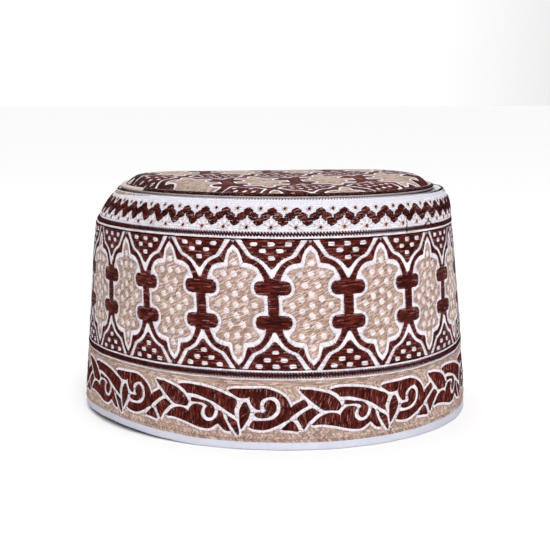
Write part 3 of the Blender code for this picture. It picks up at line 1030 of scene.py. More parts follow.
class Work:
    """All stitches of one colour in one part of the cap, gathered before they are sewn."""

    def __init__(self):
        self.starts, self.ends, self.ups, self.girths = [], [], [], []

    def lay(self, surface, starts, ends, girth=1.0, wander=0.10):
        """Lay stitches between chart places on a surface."""
        if len(starts) == 0:
            return
        starts = np.asarray(starts, float) + rng.normal(0, wander, (len(starts), 2))
        ends = np.asarray(ends, float) + rng.normal(0, wander, (len(ends), 2))
        middle = (starts + ends) / 2
        step = 0.2
        right = surface(middle + [step, 0]) - surface(middle - [step, 0])
        up = surface(middle + [0, step]) - surface(middle - [0, step])
        normal = np.cross(right, up)
        normal /= np.linalg.norm(normal, axis=-1, keepdims=True)
        self.starts.append(surface(starts))
        self.ends.append(surface(ends))
        self.ups.append(normal)
        self.girths.append(np.full(len(starts), float(girth)))

    def sew(self, name, dye, slot, width, height, seed):
        """Turn the gathered stitches into one mesh of thread."""
        starts, ends = np.concatenate(self.starts) * MM, np.concatenate(self.ends) * MM
        ups = np.concatenate(self.ups)
        along = ends - starts
        reach = np.linalg.norm(along, axis=-1)
        keep = reach > 0.0002
        points = bpy.data.meshes.new(name)
        points.from_pydata(((starts + ends) / 2)[keep].tolist(), [], [])
        store(points, "along", "FLOAT_VECTOR", (along / reach[:, None].clip(1e-9))[keep])
        store(points, "up", "FLOAT_VECTOR", ups[keep])
        store(points, "reach", "FLOAT", reach[keep] + 0.00018)
        store(points, "girth", "FLOAT", np.concatenate(self.girths)[keep])
        carrier = bpy.data.objects.new(name + "_points", points)
        bpy.context.scene.collection.objects.link(carrier)
        modifier = carrier.modifiers.new("stitching", "NODES")
        modifier.node_group = stitching
        modifier[sockets["Stitch"]] = stitch
        modifier[sockets["Thread width"]] = width * MM
        modifier[sockets["Thread height"]] = height * MM
        modifier[sockets["Seed"]] = seed
        modifier[sockets["Thread"]] = dye
        graph = bpy.context.evaluated_depsgraph_get()
        mesh = bpy.data.meshes.new_from_object(carrier.evaluated_get(graph), depsgraph=graph)
        carrier.modifiers.remove(modifier)
        bpy.data.objects.remove(carrier)
        mesh.name = name
        for spare in ("along", "up", "reach", "girth"):
            if spare in mesh.attributes:
                mesh.attributes.remove(mesh.attributes[spare])
        print("sewn", name, int(keep.sum()), "stitches", len(mesh.polygons), "faces")
        return show(name, mesh, slot)


def rows_inside(outlines, angle, pitch=ROW_PITCH):
    """Straight rows at an angle across closed outlines; an outline in another is a hole."""
    c, s = cos(angle), sin(angle)
    turn_back = np.array([[c, -s], [s, c]])
    turned_outlines = [outline @ turn_back for outline in outlines]
    low = min(outline[:, 1].min() for outline in turned_outlines)
    high = max(outline[:, 1].max() for outline in turned_outlines)
    rows = []
    for number in range(int(low // pitch), int(high // pitch) + 1):
        y = (number + 0.5) * pitch
        crossings = []
        for outline in turned_outlines:
            x0, y0 = outline.T
            x1, y1 = np.roll(outline, -1, axis=0).T
            hit = (y0 <= y) != (y1 <= y)
            crossings += (x0[hit] + (y - y0[hit]) / (y1 - y0)[hit] * (x1 - x0)[hit]).tolist()
        crossings.sort()
        rows += [(number, start, end, y) for start, end in zip(crossings[::2], crossings[1::2])]
    return rows, np.array([[c, s], [-s, c]])


def filled(outlines, angle, pitch=ROW_PITCH, longest=LONGEST, shortest=0.35):
    """Rows of stitches that fill closed outlines, broken up so that the breaks don't line up."""
    rows, turn = rows_inside(outlines, angle, pitch)
    starts, ends = [], []
    for number, start, end, y in rows:
        if end - start < shortest:
            continue
        if end - start <= longest * 1.25:
            cuts = [start, end]
        else:
            offset = (number % 4) * longest * 0.29
            first = (np.floor((start - offset) / longest) + 1) * longest + offset
            cuts = [start] + np.arange(first, end, longest).tolist() + [end]
            if cuts[1] - cuts[0] < 0.6:
                del cuts[1]
            if len(cuts) > 2 and cuts[-1] - cuts[-2] < 0.6:
                del cuts[-2]
        for left, right in zip(cuts, cuts[1:]):
            starts.append((left, y))
            ends.append((right, y))
    if not starts:
        return np.zeros((0, 2)), np.zeros((0, 2))
    return np.array(starts) @ turn, np.array(ends) @ turn


def spaced(points, count):
    """Points at equal steps along a line."""
    points = np.asarray(points, float)
    run = np.concatenate([[0], np.cumsum(np.linalg.norm(np.diff(points, axis=0), axis=-1))])
    wanted = (np.arange(count) + 0.5) / count * run[-1]
    return np.stack([np.interp(wanted, run, points[:, 0]),
                     np.interp(wanted, run, points[:, 1])], axis=-1)


def line_length(points):
    return np.linalg.norm(np.diff(np.asarray(points, float), axis=0), axis=-1).sum()


def satin(inner_sections, outer_sections, pitch=ROW_PITCH):
    """Stitches laid side by side from one edge of a band to the other."""
    starts, ends = [], []
    for inner, outer in zip(inner_sections, outer_sections):
        count = max(1, ceil((line_length(inner) + line_length(outer)) / 2 / pitch))
        starts.append(spaced(inner, count))
        ends.append(spaced(outer, count))
    return np.concatenate(starts), np.concatenate(ends)


def mirrored(pair):
    """A quarter's stitches in all four quarters."""
    starts, ends = pair
    ways = [np.array(way) for way in ((1, 1), (-1, 1), (1, -1), (-1, -1))]
    return (np.concatenate([starts * way for way in ways]),
            np.concatenate([ends * way for way in ways]))


def repeated(pair, moves):
    starts, ends = pair
    return (np.concatenate([starts + move for move in moves]),
            np.concatenate([ends + move for move in moves]))


def traced(line, longest=1.5, share=1.0):
    """End-to-end stitches along a line; a share under one leaves gaps between them."""
    count = max(1, round(line_length(line) / longest))
    run = np.concatenate([[0], np.cumsum(np.linalg.norm(np.diff(line, axis=0), axis=-1))])
    cuts = np.arange(count + 1) / count * run[-1]
    starts, ends = (np.stack([np.interp(cut, run, line[:, 0]), np.interp(cut, run, line[:, 1])], -1)
                    for cut in (cuts[:-1], cuts[1:]))
    return starts, starts + (ends - starts) * share


def dot_stitches(centres, half_width, half_height, angle, pitch=0.45):
    """Small satin dots."""
    one = filled([ellipse((0, 0), half_width, half_height)], angle, pitch)
    return repeated(one, [np.array(centre) for centre in centres])


# Medallion lattice: tan medallions with pale dots, each ringed by a white line, a brown line
# and another white line, tied to its neighbours by brown knots, with dotted brown fields
# between. All of it is machine embroidery in shiny thread on the white cotton; the thin dark
# lines along the edges of the white and brown lines are painted shade where the thread meets
# the cloth.
DOT = 1.2
FIELD_DOT = (1.4, 0.95)
tan_fill = filled([tan_outline] + [ellipse(dot, DOT, DOT) for dot in MEDALLION_DOTS],
                  radians(25), pitch=0.45, longest=1.75)
medallion_dots = dot_stitches(MEDALLION_DOTS, DOT + 0.28, DOT + 0.28, radians(25))
inner_white = mirrored(satin(TAN_EDGE, INNER_WHITE_EDGE, 0.52))
inner_white = (inner_white[0] * 0.88 + inner_white[1] * 0.12, inner_white[1])
outer_white = mirrored(satin(BROWN_EDGE, OUTER_WHITE_EDGE, 0.52))
# Painted shade: thin dark stitches along the edges of the white and brown lines stand in for the
# shadow where the thread meets the cloth.
dark_lines = [traced(joined(edge)) for edge in (INNER_WHITE_EDGE, BROWN_EDGE, OUTER_WHITE_EDGE)]
dark_lines = mirrored(tuple(np.concatenate(ends) for ends in zip(*dark_lines)))
grey_line = mirrored(traced(joined(TAN_EDGE), 0.95, 0.55))
knot_fill = filled([network], 0.0)
in_knot = np.abs(knot_fill[0][:, 1]) < 10.8
knot_fill = (knot_fill[0][in_knot], knot_fill[1][in_knot])
inner_line = [INNER_WHITE_EDGE[0], INNER_WHITE_EDGE[1] + INNER_WHITE_EDGE[2][1:]]
quarter_line = satin(inner_line, BROWN_EDGE)
brown_line = mirrored(quarter_line)
middle = (quarter_line[0] + quarter_line[1]) / 2
brown_base = mirrored((middle[:-3:3], middle[3::3]))
upper_dots = [np.array(dot) for dot in FIELD_DOTS]
field_fill = filled([field_outline(HALF_HEIGHT + 0.2)]
                    + [ellipse(dot, *FIELD_DOT) for dot in upper_dots], 0.0)
field_fill = (np.concatenate([field_fill[0], field_fill[0] * [1, -1]]),
              np.concatenate([field_fill[1], field_fill[1] * [1, -1]]))
field_dots = dot_stitches(
    upper_dots + [dot * [1, -1] for dot in upper_dots], FIELD_DOT[0] + 0.25, FIELD_DOT[1] + 0.2, 0.0)
medallions = [np.array([CELL + PITCH * k, LATTICE_MIDDLE]) for k in range(REPEATS)]
knots = [np.array([PITCH * k, LATTICE_MIDDLE]) for k in range(REPEATS)]

wall_tan_work, wall_white_work = Work(), Work()
wall_brown_work, wall_field_work = Work(), Work()
wall_edge_shade_work, wall_grey_work, wall_base_work = Work(), Work(), Work()
wall_base_work.lay(wall_place, *repeated(brown_base, medallions), 1.0, 0.03)
wall_edge_shade_work.lay(wall_place, *repeated(dark_lines, medallions), 1.0, 0.03)
wall_grey_work.lay(wall_place, *repeated(grey_line, medallions), 1.0, 0.08)
wall_tan_work.lay(wall_place, *repeated(tan_fill, medallions))
wall_white_work.lay(wall_place, *repeated(inner_white, medallions))
wall_white_work.lay(wall_place, *repeated(outer_white, medallions))
wall_dots_work = Work()
wall_dots_work.lay(wall_place, *repeated(medallion_dots, medallions))
wall_white_work.lay(wall_place, *repeated(field_dots, knots))
wall_brown_work.lay(wall_place, *repeated(knot_fill, knots))
wall_brown_work.lay(wall_place, *repeated(brown_line, medallions))
wall_field_work.lay(wall_place, *repeated(field_fill, knots))


def running(work, surface, heights, length=3.0, girth=1.0, wander=0.06, around=ROUND):
    """Rows of end-to-end stitches right round the cap at given chart heights."""
    count = round(around / length)
    for number, height in enumerate(heights):
        start = (np.arange(count) + (number % 3) / 3) * around / count
        starts = np.stack([start, np.full(count, height)], axis=-1)
        work.lay(surface, starts, starts + [around / count, 0], girth, wander)


def strokes(work, surface, low, high, pitch, slant, girth=1.0, wander=0.05, around=ROUND):
    """Short stitches side by side across a narrow band right round the cap."""
    count = round(around / pitch)
    start = np.arange(count) * around / count
    starts = np.stack([start, np.full(count, float(low))], axis=-1)
    work.lay(surface, starts, starts + [slant, high - low], girth, wander)


# Painted shade as well: dark rows along the lattice's foot and top edge, where its brown meets the
# white.
running(wall_edge_shade_work, wall_place, (34.05, 34.35, 88.75, 89.1), girth=1.5)
running(wall_white_work, wall_place, (33.45, 89.5, 89.9))
wall_brown_work.sew("wall_lattice_brown", brown_thread, "brown_embroidery", 0.60, 0.22, 1)
wall_field_work.sew("wall_fields_brown", brown_thread, "brown_embroidery", 0.58, 0.20, 2)
wall_tan_work.sew("wall_medallions_tan", tan_thread, "tan_embroidery", 0.54, 0.20, 3)
wall_base_work.sew("wall_line_base", dark_thread, "brown_embroidery", 1.7, 0.12, 31)
wall_dots_work.sew("wall_dots", pale_thread, "white_cotton", 0.60, 0.30, 32)
wall_white_work.sew("wall_lattice_white", white_thread, "white_cotton", 0.60, 0.32, 4)
wall_edge_shade_work.sew("wall_dark_lines", dark_thread, "brown_embroidery", 0.34, 0.30, 19)
wall_grey_work.sew("wall_grey_lines", grey_thread, "tan_embroidery", 0.36, 0.30, 20)


# Leaf scroll and ropes: brown leaves edged in white on a tan ground, along the foot of the
# wall, and the narrow ropes of slanted brown stitches above it and above the crease. Each
# rope lies over a dark line, between two rows of white.
LEAF_ANGLES = {
    "spiral": 80, "curl": 75, "bud": 25, "upper stem": 100, "lower stem": 110, "wedge": 80,
    "almond": 70, "long leaf": 80, "lobed leaf": 85, "arm": 85, "dagger": 20,
}
EDGE_WIDTH = 1.3
NOTCH = np.array([(1.8, 27.6), (6.2, 27.6), (7.5, 26.0), (9.0, 24.4), (10.0, 23.6), (7.4, 21.7),
                  (6.6, 22.2), (5.0, 24.2), (3.6, 25.6)])
scroll_brown_work, scroll_tan_work, scroll_white_work = Work(), Work(), Work()
scroll_moves = [np.array([SCROLL_LENGTH * k, 0.0]) for k in range(SCROLL_REPEATS)]
for leaf_name, outline in scroll.items():
    leaf = filled([outline], radians(LEAF_ANGLES[leaf_name]), 0.46, 2.6)
    scroll_brown_work.lay(scroll_place, *repeated(leaf, scroll_moves), 1.0, 0.08)
neighbours = [outline + [move, 0] for outline in scroll.values()
              for move in (-SCROLL_LENGTH, 0, SCROLL_LENGTH)]
scroll_edge_shade_work, scroll_grey_work = Work(), Work()
edge_starts, edge_ends, rim_spots, rim_ways = [], [], [], []
for outline in scroll.values():
    # Painted shade: a dark line of stitches round every leaf stands in for the shadow at its edge.
    around_leaf = traced(np.concatenate([outline, outline[:1]]), 1.4)
    scroll_edge_shade_work.lay(scroll_place, *repeated(around_leaf, scroll_moves), 1.0, 0.03)
    closed = np.concatenate([outline, outline[:1]])
    count = ceil(line_length(closed) / 0.44)
    spots = spaced(closed, count)
    tangent = np.roll(spots, -1, axis=0) - np.roll(spots, 1, axis=0)
    tangent /= np.linalg.norm(tangent, axis=-1, keepdims=True)
    outward = np.stack([tangent[:, 1], -tangent[:, 0]], axis=-1)
    if inside(spots + outward * 0.15, outline).mean() > 0.5:
        outward = -outward
    reach = np.full(count, 0.0)
    going = np.ones(count, dtype=bool)
    for step in np.arange(0.15, EDGE_WIDTH + 0.01, 0.15):
        probe = spots + outward * step
        blocked = np.zeros(count, dtype=bool)
        for other in neighbours:
            blocked |= inside(probe, other)
        going &= ~blocked
        reach[going] = step
    keep = reach > 0.4
    outer_rim = spots + outward * (EDGE_WIDTH + 0.1)
    full = (reach > EDGE_WIDTH - 0.2) & (np.arange(count) % 3 == 0)
    rim_spots.append(outer_rim[full])
    rim_ways.append(tangent[full])
    edge_starts.append(spots[keep])
    edge_ends.append((spots + outward * reach[:, None])[keep])
edge_starts, edge_ends = np.concatenate(edge_starts), np.concatenate(edge_ends)
edge_middles = (edge_starts + edge_ends) / 2
chosen = []
for index, middle in enumerate(edge_middles):
    if not chosen or np.hypot(*(edge_middles[chosen] - middle).T).min() > 0.26:
        chosen.append(index)
edging = (edge_starts[chosen], edge_ends[chosen])
scroll_white_work.lay(scroll_place, *repeated(edging, scroll_moves), 1.0, 0.05)

outline_spots = np.concatenate([spaced(np.concatenate([o, o[:1]]), ceil(line_length(o) / 0.4))
                                for o in neighbours])
outline_spots = outline_spots[(outline_spots[:, 0] > SCROLL_START - 5)
                              & (outline_spots[:, 0] < SCROLL_START + SCROLL_LENGTH + 5)]
COLUMN = 0.15             # step along a row at which leaf and open cloth are told apart
across = np.arange(SCROLL_START, SCROLL_START + SCROLL_LENGTH, COLUMN)
CHEVRON = 1.2             # height of one row of slanted stitches
FLAT_HEIGHT = 27.3        # above this the tan ground is sewn in flat rows
FLAT_LENGTH = 2.7
tan_rows = np.arange(SCROLL_LOW, SCROLL_HIGH - 0.2, CHEVRON / 2)
leafy, clear = [], []
for height in tan_rows:
    row = np.stack([across, np.full(len(across), height)], axis=-1)
    near = outline_spots[np.abs(outline_spots[:, 1] - height) < EDGE_WIDTH]
    open_cloth = np.ones(len(row), dtype=bool)
    if len(near):
        gap = np.hypot(row[:, None, 0] - near[None, :, 0], row[:, None, 1] - near[None, :, 1])
        open_cloth = gap.min(axis=1) > EDGE_WIDTH - 0.35
    on_leaf = np.zeros(len(row), dtype=bool)
    for outline in neighbours:
        on_leaf |= inside(row, outline)
    leafy.append(on_leaf)
    clear.append(open_cloth & ~on_leaf)
leafy, clear = np.array(leafy), np.array(clear)
enclosed = np.logical_or.accumulate(leafy) & np.logical_or.accumulate(leafy[::-1])[::-1]
tan_starts, tan_ends, patch_starts, patch_ends = [], [], [], []
for number, height in enumerate(tan_rows):
    row = np.stack([across, np.full(len(across), height)], axis=-1)
    white_here = clear[number] & enclosed[number] & ~inside(row, NOTCH)
    change = np.flatnonzero(np.diff(np.concatenate([[0], white_here, [0]])))
    for first, last in zip(change[::2], change[1::2]):
        if last - first > 2:
            patch_starts.append((across[first], height))
            patch_ends.append((across[last - 1], height))
    tan_here = clear[number] & ~enclosed[number]
    if height > FLAT_HEIGHT:
        change = np.flatnonzero(np.diff(np.concatenate([[0], tan_here, [0]])))
        for first, last in zip(change[::2], change[1::2]):
            offset = (number * 1.1) % FLAT_LENGTH
            cuts = np.arange(across[first] + offset, across[last - 1] - 0.5, FLAT_LENGTH)
            cuts = np.concatenate([[across[first]], cuts, [across[last - 1]]])
            tan_starts += [(cut, height) for cut in cuts[:-1]]
            tan_ends += [(cut, height) for cut in cuts[1:]]
        continue
    if number % 2:
        continue
    slots = np.arange(0, len(across), 4)
    slots = slots[tan_here[slots]]
    lean = 0.45 if number % 4 else -0.45
    tan_starts += [(across[slot] - lean, height - CHEVRON * 0.42) for slot in slots]
    tan_ends += [(across[slot] + lean, height + CHEVRON * 0.42) for slot in slots]
ground = (np.array(tan_starts), np.array(tan_ends))
scroll_tan_work.lay(scroll_place, *repeated(ground, scroll_moves), 1.0, 0.05)
scroll_tan_work.lay(scroll_place, *repeated(filled([NOTCH], radians(-45), 0.55, 2.4), scroll_moves))
rim_spots, rim_ways = np.concatenate(rim_spots), np.concatenate(rim_ways)
rim_row = np.round((rim_spots[:, 1] - tan_rows[0]) / (CHEVRON / 2)).astype(int)
rim_row = rim_row.clip(0, len(tan_rows) - 1)
rim_column = ((rim_spots[:, 0] - SCROLL_START) / COLUMN).astype(int).clip(0, len(across) - 1)
on_tan = ~enclosed[rim_row, rim_column]
rim = (rim_spots[on_tan] - rim_ways[on_tan] * 0.28, rim_spots[on_tan] + rim_ways[on_tan] * 0.28)
scroll_grey_work.lay(scroll_place, *repeated(rim, scroll_moves), 1.0, 0.08)
patches = (np.array(patch_starts), np.array(patch_ends))
scroll_white_work.lay(scroll_place, *repeated(patches, scroll_moves), 1.0, 0.05)


def foot_place(chart):
    """Point of the cloth at a length round it and a length up from its lower edge."""
    return ring_place(chart[:, 0] / ROUND, chart[:, 1])


FOOT_LENGTH = 2.8
FOOT_HEIGHTS = np.arange(4.5, 10.3, 0.55)
foot_count = round(ROUND / FOOT_LENGTH)
for number, height in enumerate(FOOT_HEIGHTS):
    foot_u = (np.arange(foot_count) + (number % 3) / 3) * ROUND / foot_count
    foot_v = wall_chart(foot_u / ROUND, np.full(foot_count, height))[:, 1]
    foot_u = foot_u[foot_v < SCROLL_LOW]
    foot = np.stack([foot_u, np.full(len(foot_u), height)], axis=-1)
    scroll_tan_work.lay(foot_place, foot, foot + [ROUND / foot_count, 0], 1.2, 0.06)
DOT_ROWS = ((29.2, 1.3), (4.0, 1.2))    # height, pitch
for dot_height, dot_pitch in DOT_ROWS:
    strokes(scroll_grey_work, wall_place, dot_height, dot_height + 0.35, dot_pitch, 0.35, 1.0)

scroll_brown_work.sew("scroll_brown", brown_thread, "brown_embroidery", 0.56, 0.26, 5)
scroll_tan_work.sew("scroll_tan", tan_thread, "tan_embroidery", 0.48, 0.16, 6)
scroll_white_work.sew("scroll_white", white_thread, "white_cotton", 0.64, 0.30, 7)

scroll_edge_shade_work.sew("scroll_dark_lines", dark_thread, "brown_embroidery", 0.34, 0.34, 21)
scroll_grey_work.sew("scroll_grey_lines", grey_thread, "tan_embroidery", 0.38, 0.34, 22)

ROPES = (
    # low, high, pitch, slant, width of the dark middle
    (30.85, 33.15, 1.30, -2.2, 1.1),
    (90.2, 92.1, 1.36, -1.85, 0.85),
)
rope_ground, rope_brown, rope_middle = Work(), Work(), Work()
for rope_low, rope_high, rope_pitch, rope_slant, rope_core in ROPES:
    running(rope_ground, wall_place, (rope_low - 0.75, rope_high + 0.65))
    running(rope_middle, wall_place, [(rope_low + rope_high) / 2], 2.0, rope_core, 0.02)
    strokes(rope_brown, wall_place, rope_low, rope_high, rope_pitch, rope_slant, 1.0, 0.03)
rope_middle.sew("rope_middle", rope_thread, "brown_embroidery", 1.0, 0.34, 33)
rope_ground.sew("rope_ground", white_thread, "white_cotton", 0.60, 0.20, 16)
rope_brown.sew("rope_brown", rope_thread, "brown_embroidery", 1.08, 0.46, 17)


# Shoulder stitching: a zigzag of small brown diamonds with dark rims on the white band, a tan
# star with a brown heart in every bend above and below it, and rows of white stitches over
# the whole band.
ZIGZAGS = 56
ZIGZAG_PITCH = ROUND / ZIGZAGS
ZIGZAG_START = 9.1
PEAK, VALLEY = 101.25, 96.6
DIAMOND = np.array([(-2.05, 0.6), (-1.15, 1.05), (-0.6, 1.8), (0.6, 1.8), (1.15, 1.05),
                    (2.05, 0.6), (2.05, -0.6), (1.15, -1.05), (0.6, -1.8), (-0.6, -1.8),
                    (-1.15, -1.05), (-2.05, -0.6)])
STAR_HIGH, STAR_LOW = 102.7, 94.1
diamonds = [
    DIAMOND + [side * ZIGZAG_PITCH / 2 * share, PEAK + (VALLEY - PEAK) * share]
    for side, share in ((0, 0), (1, 0.5), (1, 1), (-1, 0.5))
]
zigzag_pairs = [filled([diamond], radians(12), 0.40) for diamond in diamonds]
zigzag = tuple(np.concatenate(parts) for parts in zip(*zigzag_pairs))
zigzag_moves = [np.array([ZIGZAG_START + ZIGZAG_PITCH * k, 0.0]) for k in range(ZIGZAGS)]
shoulder_brown, shoulder_tan, shoulder_white = Work(), Work(), Work()
shoulder_brown.lay(wall_place, *repeated(zigzag, zigzag_moves), 1.0, 0.07)
PETALS = 8
petal_turns = np.arange(PETALS) * tau / PETALS + pi / 8
petal_tips = np.stack([np.cos(petal_turns), np.sin(petal_turns)], axis=-1)
star = (petal_tips * 0.6, petal_tips * 1.45)
heart = filled([ellipse((0, 0), 0.62, 0.62)], 0.0, 0.35)
shoulder_dark = Work()
for diamond in diamonds:
    rim = traced(np.concatenate([diamond, diamond[:1]]), 1.2, 0.9)
    shoulder_dark.lay(wall_place, *repeated(rim, zigzag_moves), 1.0, 0.08)
    core = (diamond.mean(axis=0) - [0.5, 0])[None]
    shoulder_dark.lay(wall_place, *repeated((core, core + [1.0, 0]), zigzag_moves), 2.0, 0.08)
glint = np.array([[1.1, PEAK - 0.9]])
shoulder_white.lay(wall_place, *repeated((glint, glint + [0.9, 0]), zigzag_moves), 1.2, 0.08)
shoulder_dark.sew("shoulder_dark", dark_thread, "brown_embroidery", 0.42, 0.50, 34)
high_stars = [move + [ZIGZAG_PITCH / 2 + 0.1, STAR_HIGH] for move in zigzag_moves]
low_stars = [move + [0.5, STAR_LOW] for move in zigzag_moves]
shoulder_tan.lay(wall_place, *repeated(star, high_stars + low_stars), 1.0, 0.10)
shoulder_brown.lay(wall_place, *repeated(heart, high_stars + low_stars), 1.0, 0.04)
shoulder_grey = Work()
# White leaves with a grey outline, raised a little, stand round every lower star.
LEAVES = ((90, 3.0), (40, 3.1), (140, 3.1), (-5, 2.9), (185, 2.9))
for leaf_turn, leaf_reach in LEAVES:
    heading = np.array([cos(radians(leaf_turn)), sin(radians(leaf_turn))])
    aside = np.array([-heading[1], heading[0]])
    for step in (-0.5, 0.0, 0.5):
        root, tip = heading * 1.7 + aside * step * 0.7, heading * leaf_reach + aside * step
        shoulder_white.lay(
            wall_place, *repeated((root[None], tip[None]), low_stars), 1.0, 0.06)
    for side in (-0.95, 0.95):
        root, tip = heading * 1.7 + aside * side * 0.6, heading * (leaf_reach + 0.2) + aside * side
        shoulder_grey.lay(
            wall_place, *repeated((root[None], tip[None]), low_stars), 1.0, 0.08)
shoulder_brown.sew("shoulder_brown", brown_thread, "brown_embroidery", 0.60, 0.44, 8)
shoulder_grey.sew("shoulder_grey", grey_thread, "tan_embroidery", 0.22, 0.24, 23)
shoulder_tan.sew("shoulder_stars", tan_thread, "tan_embroidery", 0.60, 0.20, 9)
shoulder_white.sew("shoulder_white", white_thread, "white_cotton", 0.62, 0.34, 10)
shoulder_rows = Work()
running(shoulder_rows, wall_place, np.arange(92.9, 104.6, 0.95), length=2.6, girth=0.8, wander=0.12)
strokes(shoulder_rows, wall_place, 104.8, 108.4, 0.95, 0.15, 0.8, 0.08)
shoulder_rows.sew("shoulder_rows", white_thread, "white_cotton", 0.62, 0.10, 18)


# Crown stitching: the same lattice as on the wall, sewn flatter and cut off by the seam. Its
# white lines are finer than the wall's and its brown lines broader, and the dots of its
# medallions are tan.
crown_tan_work, crown_white_work, crown_brown_work = Work(), Work(), Work()
CROWN_LIMIT = 0.997       # share of the way out to the seam at which the lattice is cut off
crown_cells = [(i, j) for i in range(-4, 5) for j in range(-3, 4)]


def on_crown(work, pair, moves, wander=0.08):
    """Lay stitches of the lattice on the crown where they fall inside its edge."""
    starts, ends = repeated(pair, moves)
    starts, ends = crown_lattice(starts), crown_lattice(ends)
    start_in = oval_reach(*starts.T) < CROWN_LIMIT
    end_in = oval_reach(*ends.T) < CROWN_LIMIT
    anchor = np.where(start_in[:, None], starts, ends)
    loose = np.where(start_in[:, None], ends, starts)
    low, high = np.zeros(len(starts)), np.ones(len(starts))
    for _ in range(8):
        share = (low + high) / 2
        spot = anchor + (loose - anchor) * share[:, None]
        within = oval_reach(*spot.T) < CROWN_LIMIT
        low, high = np.where(within, share, low), np.where(within, high, share)
    low = np.where(start_in & end_in, 1.0, low)
    keep = start_in | end_in
    reached = anchor + (loose - anchor) * low[:, None]
    work.lay(crown_place, anchor[keep], reached[keep], 1.0, wander)


crown_medallions = [np.array([PITCH * i, 2 * HALF_HEIGHT * j]) for i, j in crown_cells]
crown_knots = [move + [CELL, 0] for move in crown_medallions]
whole_dots = [(0, -7.5), (-3.6, -4.6), (3.6, -4.6), (-7.2, -1.6), (0, -1.6), (7.2, -1.6),
              (-3.6, 1.5), (3.6, 1.5), (0, 4.6), (-7.0, 4.4), (7.0, 4.4), (0, 9.0)]
whole_dots = [(x, y + HALF_HEIGHT) for x, y in whole_dots]
whole_field = filled([field_outline()] + [ellipse(dot, *FIELD_DOT) for dot in whole_dots],
                     0.0, 0.52)
crown_tan_fill = filled([tan_outline] + [ellipse(dot, DOT, DOT) for dot in MEDALLION_DOTS],
                        0.0, 0.55, 2.4)
on_crown(crown_tan_work, crown_tan_fill, crown_medallions)
crown_edge_shade_work = Work()
for (near_end, far_end), first, last in ((inner_white, -0.15, 0.40), (outer_white, 0.45, 0.95)):
    narrow = (near_end + (far_end - near_end) * first, near_end + (far_end - near_end) * last)
    on_crown(crown_white_work, narrow, crown_medallions)
# Painted shade: the wall's thin dark lines along the edges of the white and brown lines, here too.
on_crown(crown_edge_shade_work, dark_lines, crown_medallions, 0.03)
crown_dots_work = Work()
on_crown(crown_dots_work, medallion_dots, crown_medallions)
on_crown(crown_white_work, dot_stitches(whole_dots, 1.15, 0.75, 0.0), crown_knots)
on_crown(crown_brown_work, knot_fill, crown_knots)
wide_line = (brown_line[0] * 1.35 - brown_line[1] * 0.35,
             brown_line[1] * 1.25 - brown_line[0] * 0.25)
on_crown(crown_brown_work, wide_line, crown_medallions)
on_crown(crown_brown_work, whole_field, crown_knots)
crown_tan_work.sew("crown_tan", dull_thread, "tan_embroidery", 0.62, 0.06, 11)
crown_dots_work.sew("crown_dots", tan_thread, "tan_embroidery", 0.60, 0.06, 30)
crown_white_work.sew("crown_white", white_thread, "white_cotton", 0.58, 0.06, 12)
crown_brown_work.sew("crown_brown", brown_thread, "brown_embroidery", 0.64, 0.07, 13)
crown_edge_shade_work.sew("crown_dark_lines", dark_thread, "brown_embroidery", 0.55, 0.08, 24)


# Seam stitching: dark thread along the cord at the front, white thread whipped over its outer
# side, small dark ticks under it, and a tan strip below the seam at the cap's two sides.
cord_white, cord_brown, seam_white, seam_ticks, seam_tan = Work(), Work(), Work(), Work(), Work()
SEAM_LOW, SEAM_HIGH = 106.9, 108.4
for row_turn in (0.15, 0.45, 0.75, 1.1):
    row = np.stack(np.broadcast_arrays(np.arange(-105, 116, 2.8), row_turn), axis=-1)
    cord_brown.lay(cord_place, row, row + [2.8, 0], 1.0, 0.04)
strokes(cord_white, cord_place, -1.2, 0.5, 0.62, 0.25, 1.0)
strokes(seam_white, wall_place, SEAM_LOW - 0.2, SEAM_HIGH + 0.6, 0.62, 0.2, 1.0)
strokes(seam_ticks, wall_place, SEAM_LOW + 0.35, SEAM_HIGH - 0.2, 1.36, 0.5, 1.0, 0.06)
side_shares = np.concatenate([np.arange(-0.40, -0.16, 0.0011), np.arange(0.18, 0.40, 0.0011)])
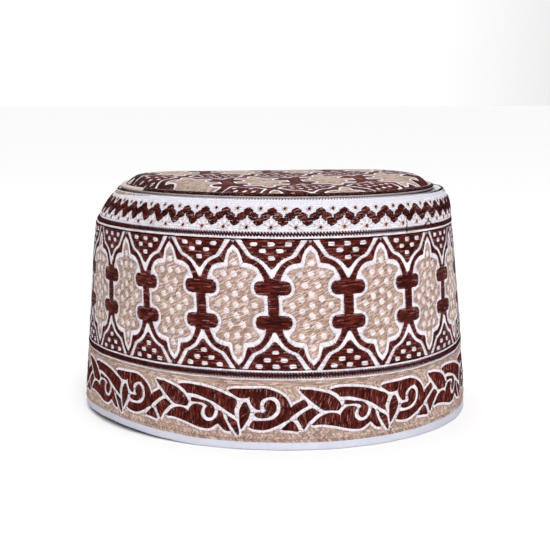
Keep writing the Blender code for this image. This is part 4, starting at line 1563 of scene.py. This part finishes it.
strip = np.clip((np.abs(side_shares) - 0.15) / 0.08, 0.15, 1.0) * 1.7
strip_u = (side_shares * REPEATS + NOSE) * PITCH
seam_tan.lay(wall_place, np.stack([strip_u, SEAM_LOW - strip], axis=-1),
             np.stack([strip_u + 0.3, np.full(len(strip_u), SEAM_LOW)], axis=-1), 1.0, 0.10)
cord_white.sew("cord_white", pale_thread, "white_cotton", 0.66, 0.12, 14)
cord_brown.sew("cord_brown", dark_thread, "brown_embroidery", 0.6, 0.16, 15)
seam_white.sew("seam_white", white_thread, "white_cotton", 0.6, 0.20, 25)
seam_ticks.sew("seam_ticks", dark_thread, "brown_embroidery", 0.5, 0.32, 26)
seam_tan.sew("seam_tan", dull_thread, "tan_embroidery", 0.6, 0.18, 27)


# Loose threads: short dark ends that cross the white gaps of the scroll, and two longer ones
# that hang on the shoulder band to the right of the nose.
JUMPS = (
    ((-12.0, 16.0), (-10.0, 15.9)), ((-7.3, 19.0), (-5.5, 19.1)), ((-18.2, 18.1), (-17.0, 17.5)),
    ((5.2, 13.4), (6.4, 12.3)), ((7.3, 13.3), (8.7, 13.2)), ((46.4, 15.2), (48.1, 13.9)),
    ((28.2, 18.3), (29.6, 18.9)), ((17.6, 17.4), (19.2, 18.0)),
)
LOOSE = (
    ((63.2, 98.4), (63.9, 96.9), (63.3, 95.2), (63.9, 93.4), (63.5, 91.4), (64.1, 89.4)),
    ((78.2, 91.2), (79.8, 93.0), (82.0, 93.6), (84.0, 92.9), (85.3, 91.3), (84.2, 90.4)),
)
jumps, loose = Work(), Work()
jump_starts, jump_ends = (np.array([jump[end] for jump in JUMPS], dtype=float) for end in (0, 1))
jumps.lay(scroll_place, *repeated((jump_starts, jump_ends), scroll_moves), 1.0, 0.12)
for line in LOOSE:
    loose.lay(wall_place, line[:-1], line[1:], 1.0, 0.03)
jumps.sew("scroll_jump_threads", dark_thread, "brown_embroidery", 0.34, 0.55, 28)
loose.sew("loose_threads", dark_thread, "brown_embroidery", 0.26, 0.65, 29)

bpy.data.objects.remove(stitch)
